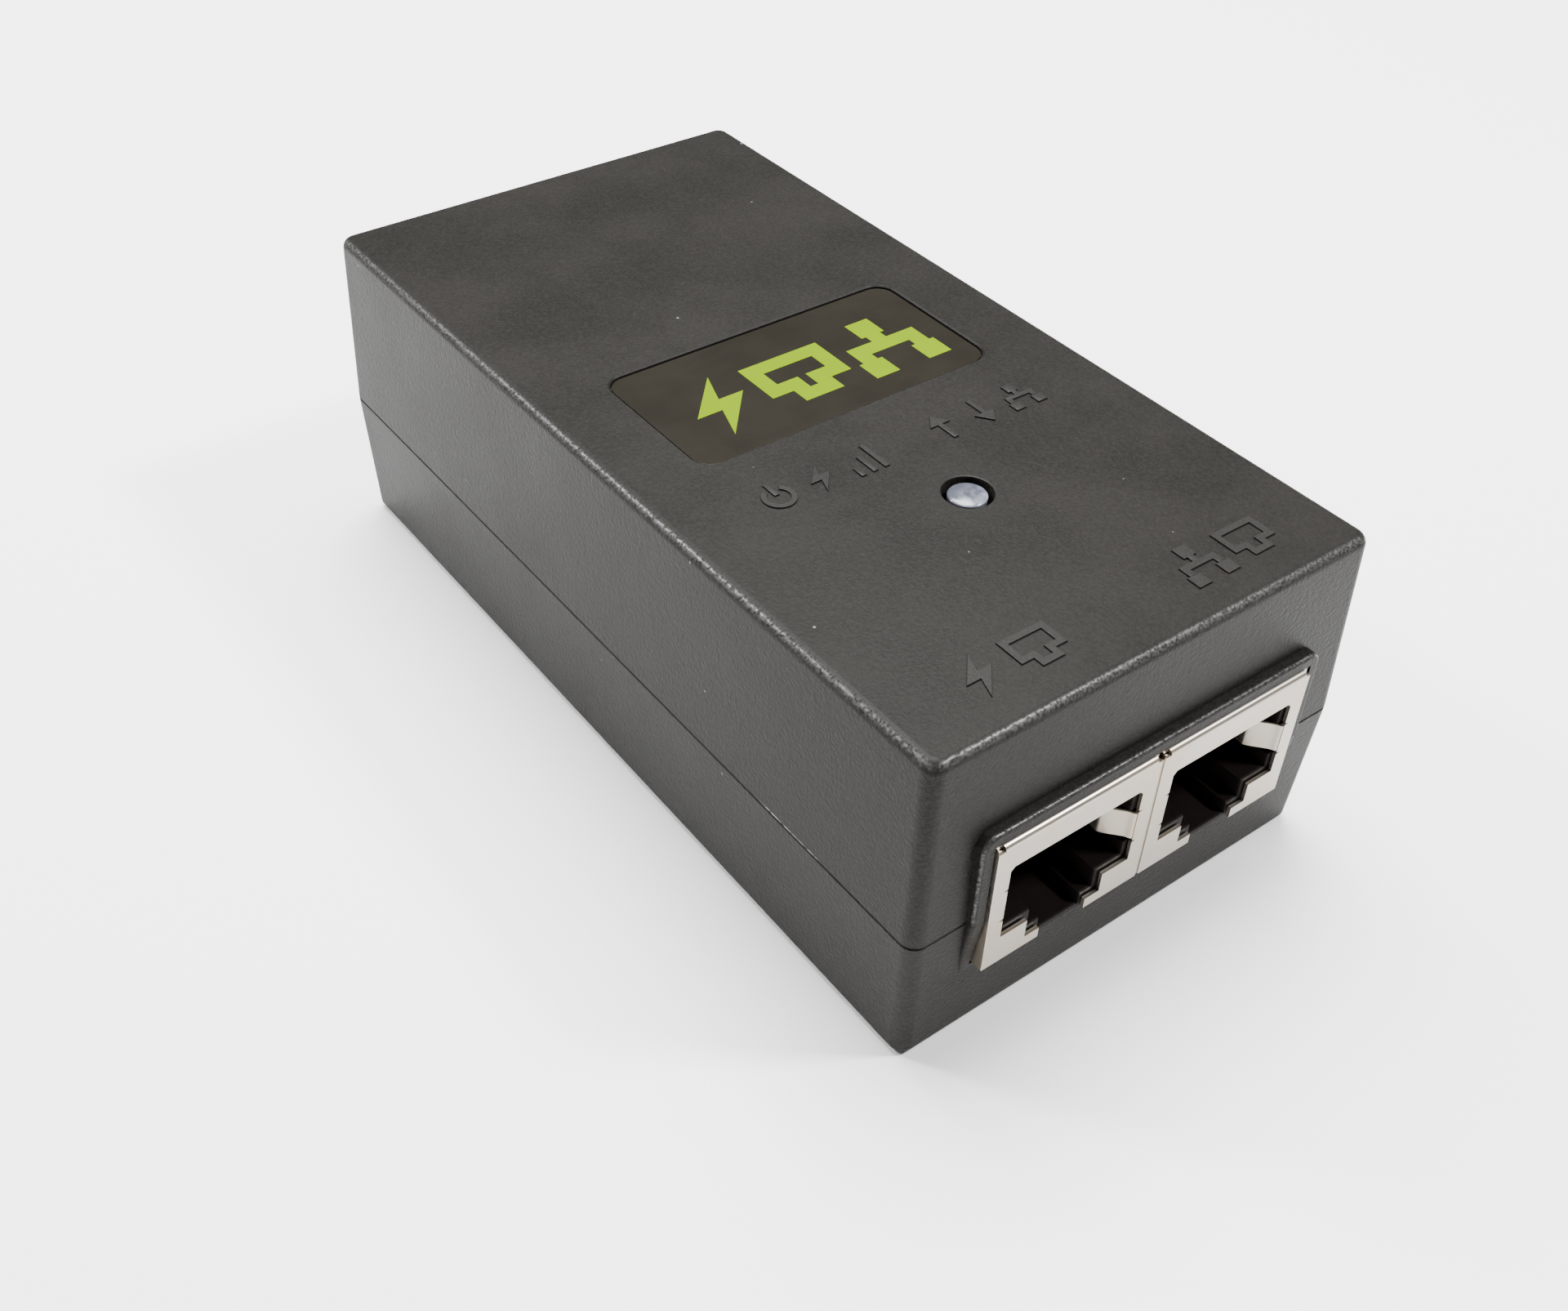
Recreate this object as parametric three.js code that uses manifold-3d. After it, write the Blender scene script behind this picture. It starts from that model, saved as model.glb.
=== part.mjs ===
// PoE injector: a small mains power supply in a two-part moulded case, with two shielded
// network jacks at one end and a cloverleaf mains inlet at the other.
// Millimetres, +Z up. The origin is the middle of the underside. The jacks face -Y, the inlet +Y.

import * as THREE from 'three';
import { mergeVertices } from 'three/addons/utils/BufferGeometryUtils.js';
import Module from 'manifold-3d';

const wasm = await Module();
wasm.setup();

// ---------------------------------------------------------------- driving dimensions
// Case
const CASE_WIDTH = 45;
const CASE_LENGTH = 87;
const CASE_HEIGHT = 30.8;
const SEAM_HEIGHT = 13.4;
const DRAFT_DEGREES = 2;
const CORNER_RADIUS = 1.3;
const RIM_RADIUS = 0.9;
const WALL = 2;
const ROOF = 2.2;
const LIP_HEIGHT = 1.5;
const LIP_THICKNESS = 0.9;
const LIP_GAP = 0.12;
const FACE_PROUD = 1;

// Jacks
const JACK_WIDTH = 16;
const JACK_HEIGHT = 13;
const JACK_DEPTH = 18;
const JACK_PITCH = 16.3;
const JACK_GAP = 0.2;
const SHEET = 0.3;
const INSERT_GAP = 0.1;
const CUTOUT_HALF_WIDTH = 6.55;
const CUTOUT_FLOOR = 2.85;
const CUTOUT_HEADROOM = 2.65;
const STEP_HALF_WIDTH = 3.85;
const STEP_FLOOR = 1;
const LATCH_HALF_WIDTH = 2.37;
const KEYWAY_INSET = 0.6;
const LATCH_INSET = 0.35;
const LATCH_SILL = 0.45;
const KEYWAY_DEPTH = 13;
const FINGER_FLOOR = 5.05;
const FINGER_HEIGHT = 2.8;
const FINGER_REACH = 1.7;
const FINGER_LENGTH = 4.2;

// Contacts, eight to a jack
const CONTACT_COUNT = 8;
const CONTACT_PITCH = 1.02;
const CONTACT_WIDTH = 0.4;
const CONTACT_THICKNESS = 0.35;
const CONTACT_ROOT_DEPTH = 3.9;
const CONTACT_ROOT_HEADROOM = 2.1;
const CONTACT_RUN = 8.2;
const CONTACT_DROP = 3.9;

// Raised bezel round the jacks
const BEZEL_PROUD = 0.7;
const BEZEL_STRIP = 1.25;
const BEZEL_RADIUS = 1.2;
const BEZEL_TOE = 1.35;
const TOE_SUNK = 0.03;

// Mains inlet and the stepped frame round it
const INLET_X = 6.5;
const INLET_HALF_WIDTH = 11.3;
const INLET_FLOOR = 7;
const INLET_HEADROOM = 4.1;
const INLET_DEPTH = 17.3;
const INLET_GAP = 0.15;
const INLET_SHOULDER = 0.9;
const SHOULDER_LENGTH = 1.8;
const STOP_THICKNESS = 1.4;
const STOP_WIDTH = 2;
const FRAME_PROUD = 0.5;
const FRAME_STRIP = 0.9;
const FRAME_TOP_STRIP = 1.8;
const TOE_PROUD = 0.15;
const LOBE_SHARE = 0.2235; // radius of a lobe, as a share of the inlet's height
const LOBE_HEIGHT_SHARE = 0.411; // height of the lower lobes above the inlet's foot, likewise
const LOBE_SPREAD = 2.318; // distance between the lower lobes, in lobe radii
const EARTH_SPREAD = 0.909; // rise of the earth lobe above the others, in lobe radii
const NOTCH_SPREAD = 0.18; // rise of the cusp between the lower lobes, in lobe radii
const WELL_DEPTH = 13.3;
const PIN_DIAMETER = 2.4;
const PIN_GAP = 0.15;
const PIN_RECESS = 4.2;
const TAIL_WIDTH = 1.4;
const TAIL_THICKNESS = 0.8;
const TAIL_REACH = 2.6;
const PIN_NOSE = 0.9;
const PIN_ROOT = 0.8;

// Circuit board
const BOARD_TOP = 8;
const BOARD_THICKNESS = 1.6;
const BOARD_EDGE_GAP = 0.7;
const SEAT_GAP = 0.05;
const LEDGE_WIDTH = 2.2;
const LEDGE_LENGTH = 9;
const FILM_THICKNESS = 0.25;
const FILM_FRONT = -10;
const SINK_THICKNESS = 1.5;
const TAB_THICKNESS = 4.4;
const PASTE_GAP = 0.1;

// Top label, indicator and raised marks
const LABEL_WIDTH = 30;
const LABEL_LENGTH = 15;
const LABEL_Y = 0.2;
const LABEL_RECESS = 0.45;
const LABEL_THICKNESS = 0.25;
const LABEL_RADIUS = 1.8;
const LABEL_GAP = 0.15;
const LED_BEHIND_JACKS = 5.2;
const LED_HOLE = 4.1;
const LED_DIAMETER = 3.2;
const LED_FLANGE = 3.8;
const LED_LENGTH = 5.3;
const LED_SUNK = 0.08;
const LED_FLANGE_HEIGHT = 0.8;
const LED_DOME = 0.25;
const LED_PITCH = 1;
const LEAD_WIDTH = 0.5;
const STAND_DIAMETER = 5.2;
const STAND_SLOT = 1.1;
const BOSS_WALL = 1.4;
const BOSS_HEIGHT = 3;
const MARK_RISE = 0.15;
const MARK_STROKE = 0.45;
const MARK_SIZE = 3.4;
const JACK_MARK_SIZE = 4.3;
const MARK_SPACING = 1.22;
const MARKS_BEHIND_LED = 7.8;
const MARKS_FROM_LED = 8.3;
const MARKS_FROM_FRONT = 5.8;
const MARKS_FROM_JACK = 2.6;

// Underside label
const BASE_LABEL_WIDTH = 34;
const BASE_LABEL_LENGTH = 62;
const BASE_LABEL_RECESS = 0.35;
const BASE_LABEL_THICKNESS = 0.15;

// Components on the board: x and y are places on the board, and fromBack is measured from its
// back edge. A tall one gives its height as `fill`, a share of the room under the roof.
const FUSE = { x: -14.4, fromBack: 6, width: 8.4, length: 4, height: 7.4, legs: [[-2.5, 0], [2.5, 0]] };
const THERMISTOR = { x: -14, fromBack: 11.9, radius: 4, thickness: 3.4 };
const FILTER = { x: -3.2, fromBack: 6.9, width: 12.6, length: 6, fill: 0.585, legs: [[-5, 0], [5, 0]] };
const MAINS_CHOKE = { x: 11.2, fromBack: 9.3, radius: 6.2, height: 7 };
const CORE = { x: 7.4, y: 2.5, width: 22, depth: 6.5, fill: 0.825, limb: 2.9, leg: 5.6, foot: 0.8 };
const BRIDGE = { x: -4, y: 12.2, width: 8.4, length: 6.4, height: 3.2 };
const MAINS_CAN = { x: -11.6, y: 1.4, radius: 6.5, fill: 0.94 };
const SWITCH_SINK = { x: -11, y: -8.2, width: 13, fill: 0.777 };
const OUTPUT_SINK = { x: 11, y: -11.6, width: 13, fill: 0.777 };
const OUTPUT_CAN_1 = { x: -13.4, y: -21, radius: 5, fill: 0.777 };
const OUTPUT_CAN_2 = { x: 12.6, y: -21.6, radius: 4, fill: 0.583 };
const OUTPUT_CHOKE = { x: -2.4, y: -14, radius: 3.6, height: 8 };
const OPTOCOUPLER = { x: 0.4, y: -6.4, width: 4.6, length: 6.2, height: 3.4 };
const SAFETY_DISC = { x: 7.4, y: -8.1, radius: 3.4, thickness: 3 };
const CONTROLLER = { x: 6, y: -20.4, width: 4, length: 5, height: 1.6 };
const LEG_WIDTH = 0.6;
const LEG_LIFT = 0.6;
const TAB_WIDTH = 10;
const TAB_HEADROOM = 2.1;
const TAB_LIFT = 3.2;
const TAB_LEG_PITCH = 2.54;

// ---------------------------------------------------------------- derived places
const HALF_WIDTH = CASE_WIDTH / 2;
const HALF_LENGTH = CASE_LENGTH / 2;
const SLOPE = Math.tan(THREE.MathUtils.degToRad(DRAFT_DEGREES));
const CEILING = CASE_HEIGHT - ROOF;
const INNER_HALF_WIDTH = HALF_WIDTH - WALL;
const INNER_HALF_LENGTH = HALF_LENGTH - WALL;
const FRONT_FACE = -(HALF_LENGTH + FACE_PROUD);
const BACK_FACE = HALF_LENGTH + FACE_PROUD;
const JACK_FLOOR = BOARD_TOP + SEAT_GAP;
const JACK_TOP = JACK_FLOOR + JACK_HEIGHT;
const CUTOUT_HEIGHT = JACK_HEIGHT - CUTOUT_FLOOR - CUTOUT_HEADROOM;
const PORT_HALF_WIDTH = (JACK_PITCH + JACK_WIDTH) / 2 + JACK_GAP;
const INLET_TOP = CASE_HEIGHT - INLET_HEADROOM;
const INLET_HEIGHT = INLET_TOP - INLET_FLOOR;
const INLET_BACK = BACK_FACE - INLET_DEPTH;
const LOBE_RADIUS = INLET_HEIGHT * LOBE_SHARE;
const LOBE_SPACING = LOBE_RADIUS * LOBE_SPREAD;
const LOBE_Z = INLET_FLOOR + INLET_HEIGHT * LOBE_HEIGHT_SHARE;
const EARTH_RISE = LOBE_RADIUS * EARTH_SPREAD;
const BOARD_UNDERSIDE = BOARD_TOP - BOARD_THICKNESS;
const BOARD_HALF_WIDTH = INNER_HALF_WIDTH - SLOPE * (SEAM_HEIGHT - BOARD_UNDERSIDE) - BOARD_EDGE_GAP;
const BOARD_FRONT = -(INNER_HALF_LENGTH - SLOPE * (SEAM_HEIGHT - BOARD_UNDERSIDE) - BOARD_EDGE_GAP);
const BOARD_BACK = INLET_BACK - BOARD_EDGE_GAP;
const JACK_BACK = FRONT_FACE + JACK_DEPTH;
const LED_Y = JACK_BACK + LED_BEHIND_JACKS;
const LED_FOOT = CASE_HEIGHT - LED_SUNK - LED_LENGTH;
const ROOM = CEILING - BOARD_TOP; // height over the board
const EPS = 0.5; // how far a cutter runs past the face that it cuts

// ---------------------------------------------------------------- finishes
const finish = (colour, roughness, metalness) =>
  new THREE.MeshStandardMaterial({ color: colour, roughness, metalness });

const FINISHES = {
  case: () => finish(0x3a3936, 0.55, 0),
  label: () => finish(0x22221f, 0.35, 0),
  nickel: () => finish(0xb9b2a6, 0.28, 1),
  insert: () => finish(0x141414, 0.5, 0),
  contact: () => finish(0xc9a24a, 0.25, 1),
  lens: () => finish(0xd5d8e0, 0.15, 0),
  lead: () => finish(0xbfc2c4, 0.3, 1),
  board: () => finish(0x2d5a36, 0.5, 0),
  paper: () => finish(0xcfcfc8, 0.6, 0),
  film: () => finish(0xd9d2b8, 0.5, 0),
  ferrite: () => finish(0x2b2a2c, 0.6, 0),
  copper: () => finish(0xb87333, 0.35, 1),
  tape: () => finish(0xd9b93a, 0.5, 0),
  sleeve: () => finish(0x1c2333, 0.4, 0),
  heatSink: () => finish(0xb4b6b8, 0.4, 1),
  package: () => finish(0x1a1a1b, 0.5, 0),
  blueCoat: () => finish(0x2f6fae, 0.4, 0),
  greenCoat: () => finish(0x35724a, 0.45, 0),
};

// ---------------------------------------------------------------- solids
/** A closed geometry as a solid that can be joined and cut. */
function solid(geometry) {
  const bare = geometry.clone();
  bare.deleteAttribute('normal');
  bare.deleteAttribute('uv');
  const merged = mergeVertices(bare, 1e-4);
  return new wasm.Manifold(new wasm.Mesh({
    numProp: 3,
    vertProperties: new Float32Array(merged.attributes.position.array),
    triVerts: new Uint32Array(merged.index.array),
  }));
}

/** A solid as a named mesh in one of the finishes. */
function part(name, body, finishName) {
  const data = body.getMesh();
  const geometry = new THREE.BufferGeometry();
  geometry.setAttribute('position', new THREE.BufferAttribute(data.vertProperties, 3));
  geometry.setIndex(new THREE.BufferAttribute(data.triVerts, 1));
  geometry.computeVertexNormals();
  const mesh = new THREE.Mesh(geometry, FINISHES[finishName]());
  mesh.name = name;
  return mesh;
}

/** A block between two corners. */
function block(x0, x1, y0, y1, z0, z1) {
  const geometry = new THREE.BoxGeometry(x1 - x0, y1 - y0, z1 - z0);
  geometry.translate((x0 + x1) / 2, (y0 + y1) / 2, (z0 + z1) / 2);
  return solid(geometry);
}

/** A block centred on x and y and standing on z0. */
function slab(x, y, width, length, z0, height) {
  return block(x - width / 2, x + width / 2, y - length / 2, y + length / 2, z0, z0 + height);
}

/** A rounded rectangle from its corners. */
function roundedRectangle(x0, x1, y0, y1, radius) {
  const shape = new THREE.Shape();
  shape.moveTo(x0 + radius, y0);
  shape.lineTo(x1 - radius, y0);
  shape.absarc(x1 - radius, y0 + radius, radius, -Math.PI / 2, 0);
  shape.lineTo(x1, y1 - radius);
  shape.absarc(x1 - radius, y1 - radius, radius, 0, Math.PI / 2);
  shape.lineTo(x0 + radius, y1);
  shape.absarc(x0 + radius, y1 - radius, radius, Math.PI / 2, Math.PI);
  shape.lineTo(x0, y0 + radius);
  shape.absarc(x0 + radius, y0 + radius, radius, Math.PI, Math.PI * 1.5);
  return shape;
}

/** An outline given as [a, b] pairs. */
function outline(points) {
  return new THREE.Shape(points.map(([a, b]) => new THREE.Vector2(a, b)));
}

/** An outline in X and Y, standing from z0 to z1. */
function upright(shape, z0, z1, curveSegments = 4) {
  const options = { depth: z1 - z0, bevelEnabled: false, curveSegments };
  return solid(new THREE.ExtrudeGeometry(shape, options).translate(0, 0, z0));
}

/** An outline in X and Z, running along Y from y0 to y1. */
function alongY(shape, y0, y1, curveSegments = 4) {
  const options = { depth: y1 - y0, bevelEnabled: false, curveSegments };
  return solid(new THREE.ExtrudeGeometry(shape, options).rotateX(Math.PI / 2).translate(0, y1, 0));
}

/** An outline in Y and Z, running along X from x0 to x1. */
function alongX(shape, x0, x1, curveSegments = 4) {
  const options = { depth: x1 - x0, bevelEnabled: false, curveSegments };
  const geometry = new THREE.ExtrudeGeometry(shape, options);
  return solid(geometry.rotateX(Math.PI / 2).rotateZ(Math.PI / 2).translate(x0, 0, 0));
}

/** A turned piece on an upright axis, from [radius, height] pairs that start and end on the axis. */
function turned(profile, x, y, z, segments = 20) {
  const points = profile.map(([radius, height]) => new THREE.Vector2(radius, height));
  const geometry = new THREE.LatheGeometry(points, segments).rotateX(Math.PI / 2);
  return solid(geometry.translate(x, y, z));
}

/** An upright round bar. */
function bar(x, y, radius, z0, z1, segments = 20) {
  return turned([[0, 0], [radius, 0], [radius, z1 - z0], [0, z1 - z0]], x, y, z0, segments);
}

/** A round bar lying along Y. */
function barAlongY(x, z, radius, y0, y1, segments = 20) {
  const points = [[0, y0], [radius, y0], [radius, y1], [0, y1]].map(([r, y]) => new THREE.Vector2(r, y));
  return solid(new THREE.LatheGeometry(points, segments).translate(x, 0, z));
}

/** Several solids joined in one. */
function joined(solids) {
  return solids.reduce((sum, next) => sum.add(next));
}

// ---------------------------------------------------------------- case
/** The half of a drafted block above or below the seam. `side` is 1 for above and -1 for below. */
function draftedHalf(halfX, halfY, radius, tip, rim, side) {
  const overrun = 2;
  const rise = Math.abs(tip - SEAM_HEIGHT);
  const shape = roundedRectangle(-halfX, halfX, -halfY, halfY, radius);
  const options = {
    depth: rise + overrun - rim,
    bevelEnabled: rim > 0,
    bevelSize: rim,
    bevelThickness: rim,
    bevelOffset: -rim,
    bevelSegments: 3,
    curveSegments: 4,
  };
  const geometry = new THREE.ExtrudeGeometry(shape, options).translate(0, 0, -overrun);
  const place = geometry.attributes.position;
  for (let i = 0; i < place.count; i += 1) {
    const inset = SLOPE * place.getZ(i);
    place.setX(i, place.getX(i) - Math.sign(place.getX(i)) * inset);
    place.setY(i, place.getY(i) - Math.sign(place.getY(i)) * inset);
  }
  if (side < 0) geometry.rotateX(Math.PI);
  geometry.translate(0, 0, SEAM_HEIGHT);
  return solid(geometry);
}

/** Everything above (side 1) or below (side -1) a height. */
function halfSpace(height, side) {
  const reach = CASE_LENGTH;
  const far = height + side * reach;
  return block(-reach, reach, -reach, reach, Math.min(height, far), Math.max(height, far));
}

/** How far the outside of the case has drawn in at a height. */
function draw(height) {
  return SLOPE * Math.abs(height - SEAM_HEIGHT);
}

/** The raised bezel round the jacks: upright above the seam, fading into the wall below it. */
function portBezel(side) {
  const half = PORT_HALF_WIDTH - JACK_GAP + BEZEL_STRIP;
  const face = -(HALF_LENGTH + BEZEL_PROUD);
  const root = -(HALF_LENGTH - WALL / 2);
  const top = JACK_TOP + BEZEL_STRIP;
  if (side > 0) {
    const shape = roundedRectangle(-half, half, SEAM_HEIGHT - 2 * BEZEL_RADIUS, top, BEZEL_RADIUS);
    return alongY(shape, face, root).intersect(halfSpace(SEAM_HEIGHT, 1));
  }
  const toe = JACK_FLOOR - BEZEL_TOE;
  const toeFace = -(HALF_LENGTH - draw(toe) - TOE_SUNK);
  const wedge = [[face, SEAM_HEIGHT], [toeFace, toe], [root, toe], [root, SEAM_HEIGHT]];
  return alongX(outline(wedge), -half, half);
}

/** The hole that both jacks look out of. */
function portOpening() {
  const shape = roundedRectangle(
    -PORT_HALF_WIDTH, PORT_HALF_WIDTH, JACK_FLOOR - JACK_GAP, JACK_TOP + JACK_GAP, 0.3);
  return alongY(shape, FRONT_FACE - EPS, -(INNER_HALF_LENGTH - 2 * EPS), 1);
}

/** The raised frame round the inlet: upright above the seam, fading towards the wall below it. */
function inletFrame(side) {
  const half = INLET_HALF_WIDTH + FRAME_STRIP;
  const face = HALF_LENGTH + FRAME_PROUD;
  const root = HALF_LENGTH - WALL / 2;
  const top = INLET_TOP + FRAME_TOP_STRIP;
  if (side > 0) {
    const bottom = SEAM_HEIGHT - 2 * BEZEL_RADIUS;
    const shape = roundedRectangle(INLET_X - half, INLET_X + half, bottom, top, BEZEL_RADIUS);
    return alongY(shape, root, face).intersect(halfSpace(SEAM_HEIGHT, 1));
  }
  const toe = INLET_FLOOR - FRAME_STRIP;
  const toeFace = HALF_LENGTH - draw(toe) - TOE_SUNK;
  const wedge = [[face, SEAM_HEIGHT], [root, SEAM_HEIGHT], [root, toe], [toeFace, toe]];
  return alongX(outline(wedge), INLET_X - half, INLET_X + half);
}

/** The hole that the inlet looks out of. */
function inletOpening() {
  const half = INLET_HALF_WIDTH + INLET_GAP;
  const back = INNER_HALF_LENGTH - 2 * EPS;
  return block(
    INLET_X - half, INLET_X + half, back, BACK_FACE + EPS, INLET_FLOOR - INLET_GAP, INLET_TOP + INLET_GAP);
}

/** Ribs in the upper shell that hold the board down, clear of the lower shell's lip. */
function boardRibs() {
  const rib = { thickness: 1.4, reach: 1.6, foot: 0.2, spread: 12 };
  const outer = INNER_HALF_WIDTH - LIP_GAP - draw(CEILING);
  const inner = outer - rib.reach;
  const ribs = [];
  for (const side of [-1, 1]) {
    for (const y of [-rib.spread, rib.spread]) {
      const low = [side * inner, side * outer].sort((a, b) => a - b);
      const high = [side * inner, side * (INNER_HALF_WIDTH + LIP_GAP)].sort((a, b) => a - b);
      const y0 = y - rib.thickness / 2;
      const y1 = y + rib.thickness / 2;
      const step = SEAM_HEIGHT + LIP_HEIGHT + 2 * LIP_GAP;
      ribs.push(block(low[0], low[1], y0, y1, BOARD_TOP + rib.foot, step + EPS));
      ribs.push(block(high[0], high[1], y0, y1, step, CEILING + EPS));
    }
  }
  return joined(ribs);
}

/** Stops in the upper shell that keep the inlet from being pushed in. */
function inletStops() {
  const y1 = shoulderFront() - SHOULDER_LENGTH - INLET_GAP;
  const y0 = y1 - STOP_THICKNESS;
  const half = INLET_HALF_WIDTH + INLET_GAP;
  const foot = SEAM_HEIGHT + LIP_HEIGHT + 2 * LIP_GAP;
  const wallSide = block(INLET_X + half, INNER_HALF_WIDTH + LIP_GAP, y0, y1, foot, CEILING + EPS);
  const openSide = block(INLET_X - half - STOP_WIDTH, INLET_X - half, y0, y1, foot, CEILING + EPS);
  return wallSide.add(openSide);
}

// Raised marks, each drawn in a unit square round the origin.
/** A straight stroke between two points. */
function stroke(a, b, width) {
  const direction = new THREE.Vector2(b[0] - a[0], b[1] - a[1]).normalize();
  const side = new THREE.Vector2(-direction.y, direction.x).multiplyScalar(width / 2);
  return outline([
    [a[0] + side.x, a[1] + side.y], [a[0] - side.x, a[1] - side.y],
    [b[0] - side.x, b[1] - side.y], [b[0] + side.x, b[1] + side.y],
  ]);
}

/** A lightning flash. */
function boltMark() {
  return [outline([[0.18, 0.5], [-0.34, -0.08], [-0.04, -0.08], [-0.18, -0.5], [0.34, 0.1], [0.04, 0.1]])];
}

/** A ring broken at the top, with a short bar in the break. */
function switchMark(width) {
  const radius = 0.42;
  const gap = 0.6;
  const ring = new THREE.Shape();
  ring.absarc(0, -0.05, radius, Math.PI / 2 + gap, Math.PI * 2.5 - gap);
  ring.absarc(0, -0.05, radius - width, Math.PI * 2.5 - gap, Math.PI / 2 + gap, true);
  return [ring, stroke([0, 0.5], [0, 0.02], width)];
}

/** An arrow; `way` is 1 for up and -1 for down. */
function arrowMark(width, way) {
  const head = outline([[0, 0.5 * way], [-0.3, 0.1 * way], [0.3, 0.1 * way]]);
  return [head, stroke([0, 0.15 * way], [0, -0.5 * way], width)];
}

/** Three upright bars, each taller than the last. */
function barsMark(width) {
  return [-0.34, 0, 0.34].map((x, index) => stroke([x, -0.5], [x, -0.15 + 0.32 * index], width));
}

/** One box wired to two below it. */
function treeMark(width) {
  const pad = 0.15;
  const box = (x, y) => outline([
    [x - pad, y - pad], [x + pad, y - pad], [x + pad, y + pad], [x - pad, y + pad],
  ]);
  return [
    box(0, 0.35), box(-0.35, -0.35), box(0.35, -0.35),
    stroke([0, 0.25], [0, 0], width), stroke([-0.35 - width / 2, 0], [0.35 + width / 2, 0], width),
    stroke([-0.35, 0.02], [-0.35, -0.25], width), stroke([0.35, 0.02], [0.35, -0.25], width),
  ];
}

/** The front of a jack, as a frame. */
function jackMark(width) {
  const keyhole = (w, foot, tongue) => [
    [-0.5 + w, 0.42 - w], [-0.5 + w, -0.2 + w], [-foot + w, -0.2 + w], [-foot + w, -tongue + w],
    [foot - w, -tongue + w], [foot - w, -0.2 + w], [0.5 - w, -0.2 + w], [0.5 - w, 0.42 - w],
  ];
  const shape = outline(keyhole(0, 0.24, 0.42));
  shape.holes.push(outline(keyhole(width, 0.24, 0.42)));
  return [shape];
}

/** A row of marks of one size, centred on a point of the top face. */
function markRow(marks, x, y, size) {
  const bodies = marks.flatMap((shapes, index) => {
    const shift = x + (index - (marks.length - 1) / 2) * size * MARK_SPACING;
    return shapes.map((shape) => {
      const options = { depth: MARK_RISE + WALL / 2, bevelEnabled: false, curveSegments: 8 };
      const geometry = new THREE.ExtrudeGeometry(shape, options).scale(size, size, 1);
      return solid(geometry.translate(shift, y, CASE_HEIGHT - WALL / 2));
    });
  });
  return joined(bodies);
}

/** All the raised marks: two rows by the indicator and one behind each jack. */
function raisedMarks() {
  const line = MARK_STROKE / MARK_SIZE;
  const indicatorRow = LED_Y + MARKS_BEHIND_LED;
  const jackRow = -(HALF_LENGTH - MARKS_FROM_FRONT);
  const jackX = JACK_PITCH / 2 + MARKS_FROM_JACK;
  return joined([
    markRow([switchMark(line), boltMark(), barsMark(line)], -MARKS_FROM_LED, indicatorRow, MARK_SIZE),
    markRow(
      [arrowMark(line, 1), arrowMark(line, -1), treeMark(line)], MARKS_FROM_LED, indicatorRow, MARK_SIZE),
    markRow([boltMark(), jackMark(line)], -jackX, jackRow, JACK_MARK_SIZE),
    markRow([treeMark(line), jackMark(line)], jackX, jackRow, JACK_MARK_SIZE),
  ]);
}

/** The upper half of the case. */
function upperShell() {
  const above = halfSpace(SEAM_HEIGHT, 1);
  const ledBoss = bar(0, LED_Y, LED_HOLE / 2 + BOSS_WALL, CEILING - BOSS_HEIGHT, CEILING + EPS);
  const x = LABEL_WIDTH / 2;
  const y = LABEL_LENGTH / 2;
  const recess = roundedRectangle(-x, x, LABEL_Y - y, LABEL_Y + y, LABEL_RADIUS);
  return draftedHalf(HALF_WIDTH, HALF_LENGTH, CORNER_RADIUS, CASE_HEIGHT, RIM_RADIUS, 1)
    .intersect(above)
    .add(raisedMarks())
    .add(portBezel(1))
    .add(inletFrame(1))
    .subtract(draftedHalf(INNER_HALF_WIDTH, INNER_HALF_LENGTH, 0.4, CEILING, 0, 1))
    .subtract(
      draftedHalf(HALF_WIDTH - LIP_THICKNESS, HALF_LENGTH - LIP_THICKNESS, 0.6,
        SEAM_HEIGHT + LIP_HEIGHT + LIP_GAP, 0, 1))
    .add(boardRibs())
    .add(inletStops())
    .add(ledBoss)
    .subtract(portOpening())
    .subtract(inletOpening())
    .subtract(upright(recess, CASE_HEIGHT - LABEL_RECESS, CASE_HEIGHT + EPS))
    .subtract(bar(0, LED_Y, LED_HOLE / 2, CEILING - BOSS_HEIGHT - EPS, CASE_HEIGHT + EPS));
}

/** Ledges in the lower shell that carry the board. */
function boardLedges() {
  const inner = BOARD_HALF_WIDTH - LEDGE_WIDTH;
  const ledges = [];
  for (const side of [-1, 1]) {
    for (const y of [BOARD_FRONT + LEDGE_LENGTH, 0, BOARD_BACK - LEDGE_LENGTH]) {
      const span = [side * inner, side * (INNER_HALF_WIDTH + LIP_GAP)].sort((a, b) => a - b);
      const y0 = y - LEDGE_LENGTH / 2;
      ledges.push(block(span[0], span[1], y0, y0 + LEDGE_LENGTH, WALL - EPS, BOARD_UNDERSIDE));
    }
  }
  return joined(ledges);
}

/** The lip that stands up from the lower shell inside the upper one. */
function seamLip() {
  const outer = LIP_THICKNESS + LIP_GAP;
  const band = block(
    -HALF_WIDTH, HALF_WIDTH, -HALF_LENGTH, HALF_LENGTH, SEAM_HEIGHT - EPS, SEAM_HEIGHT + LIP_HEIGHT);
  const inner = WALL + LIP_GAP;
  const ring = draftedHalf(HALF_WIDTH - outer, HALF_LENGTH - outer, 0.5, CEILING, 0, 1).intersect(band);
  return ring.subtract(draftedHalf(HALF_WIDTH - inner, HALF_LENGTH - inner, 0.4, CEILING, 0, 1));
}

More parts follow.
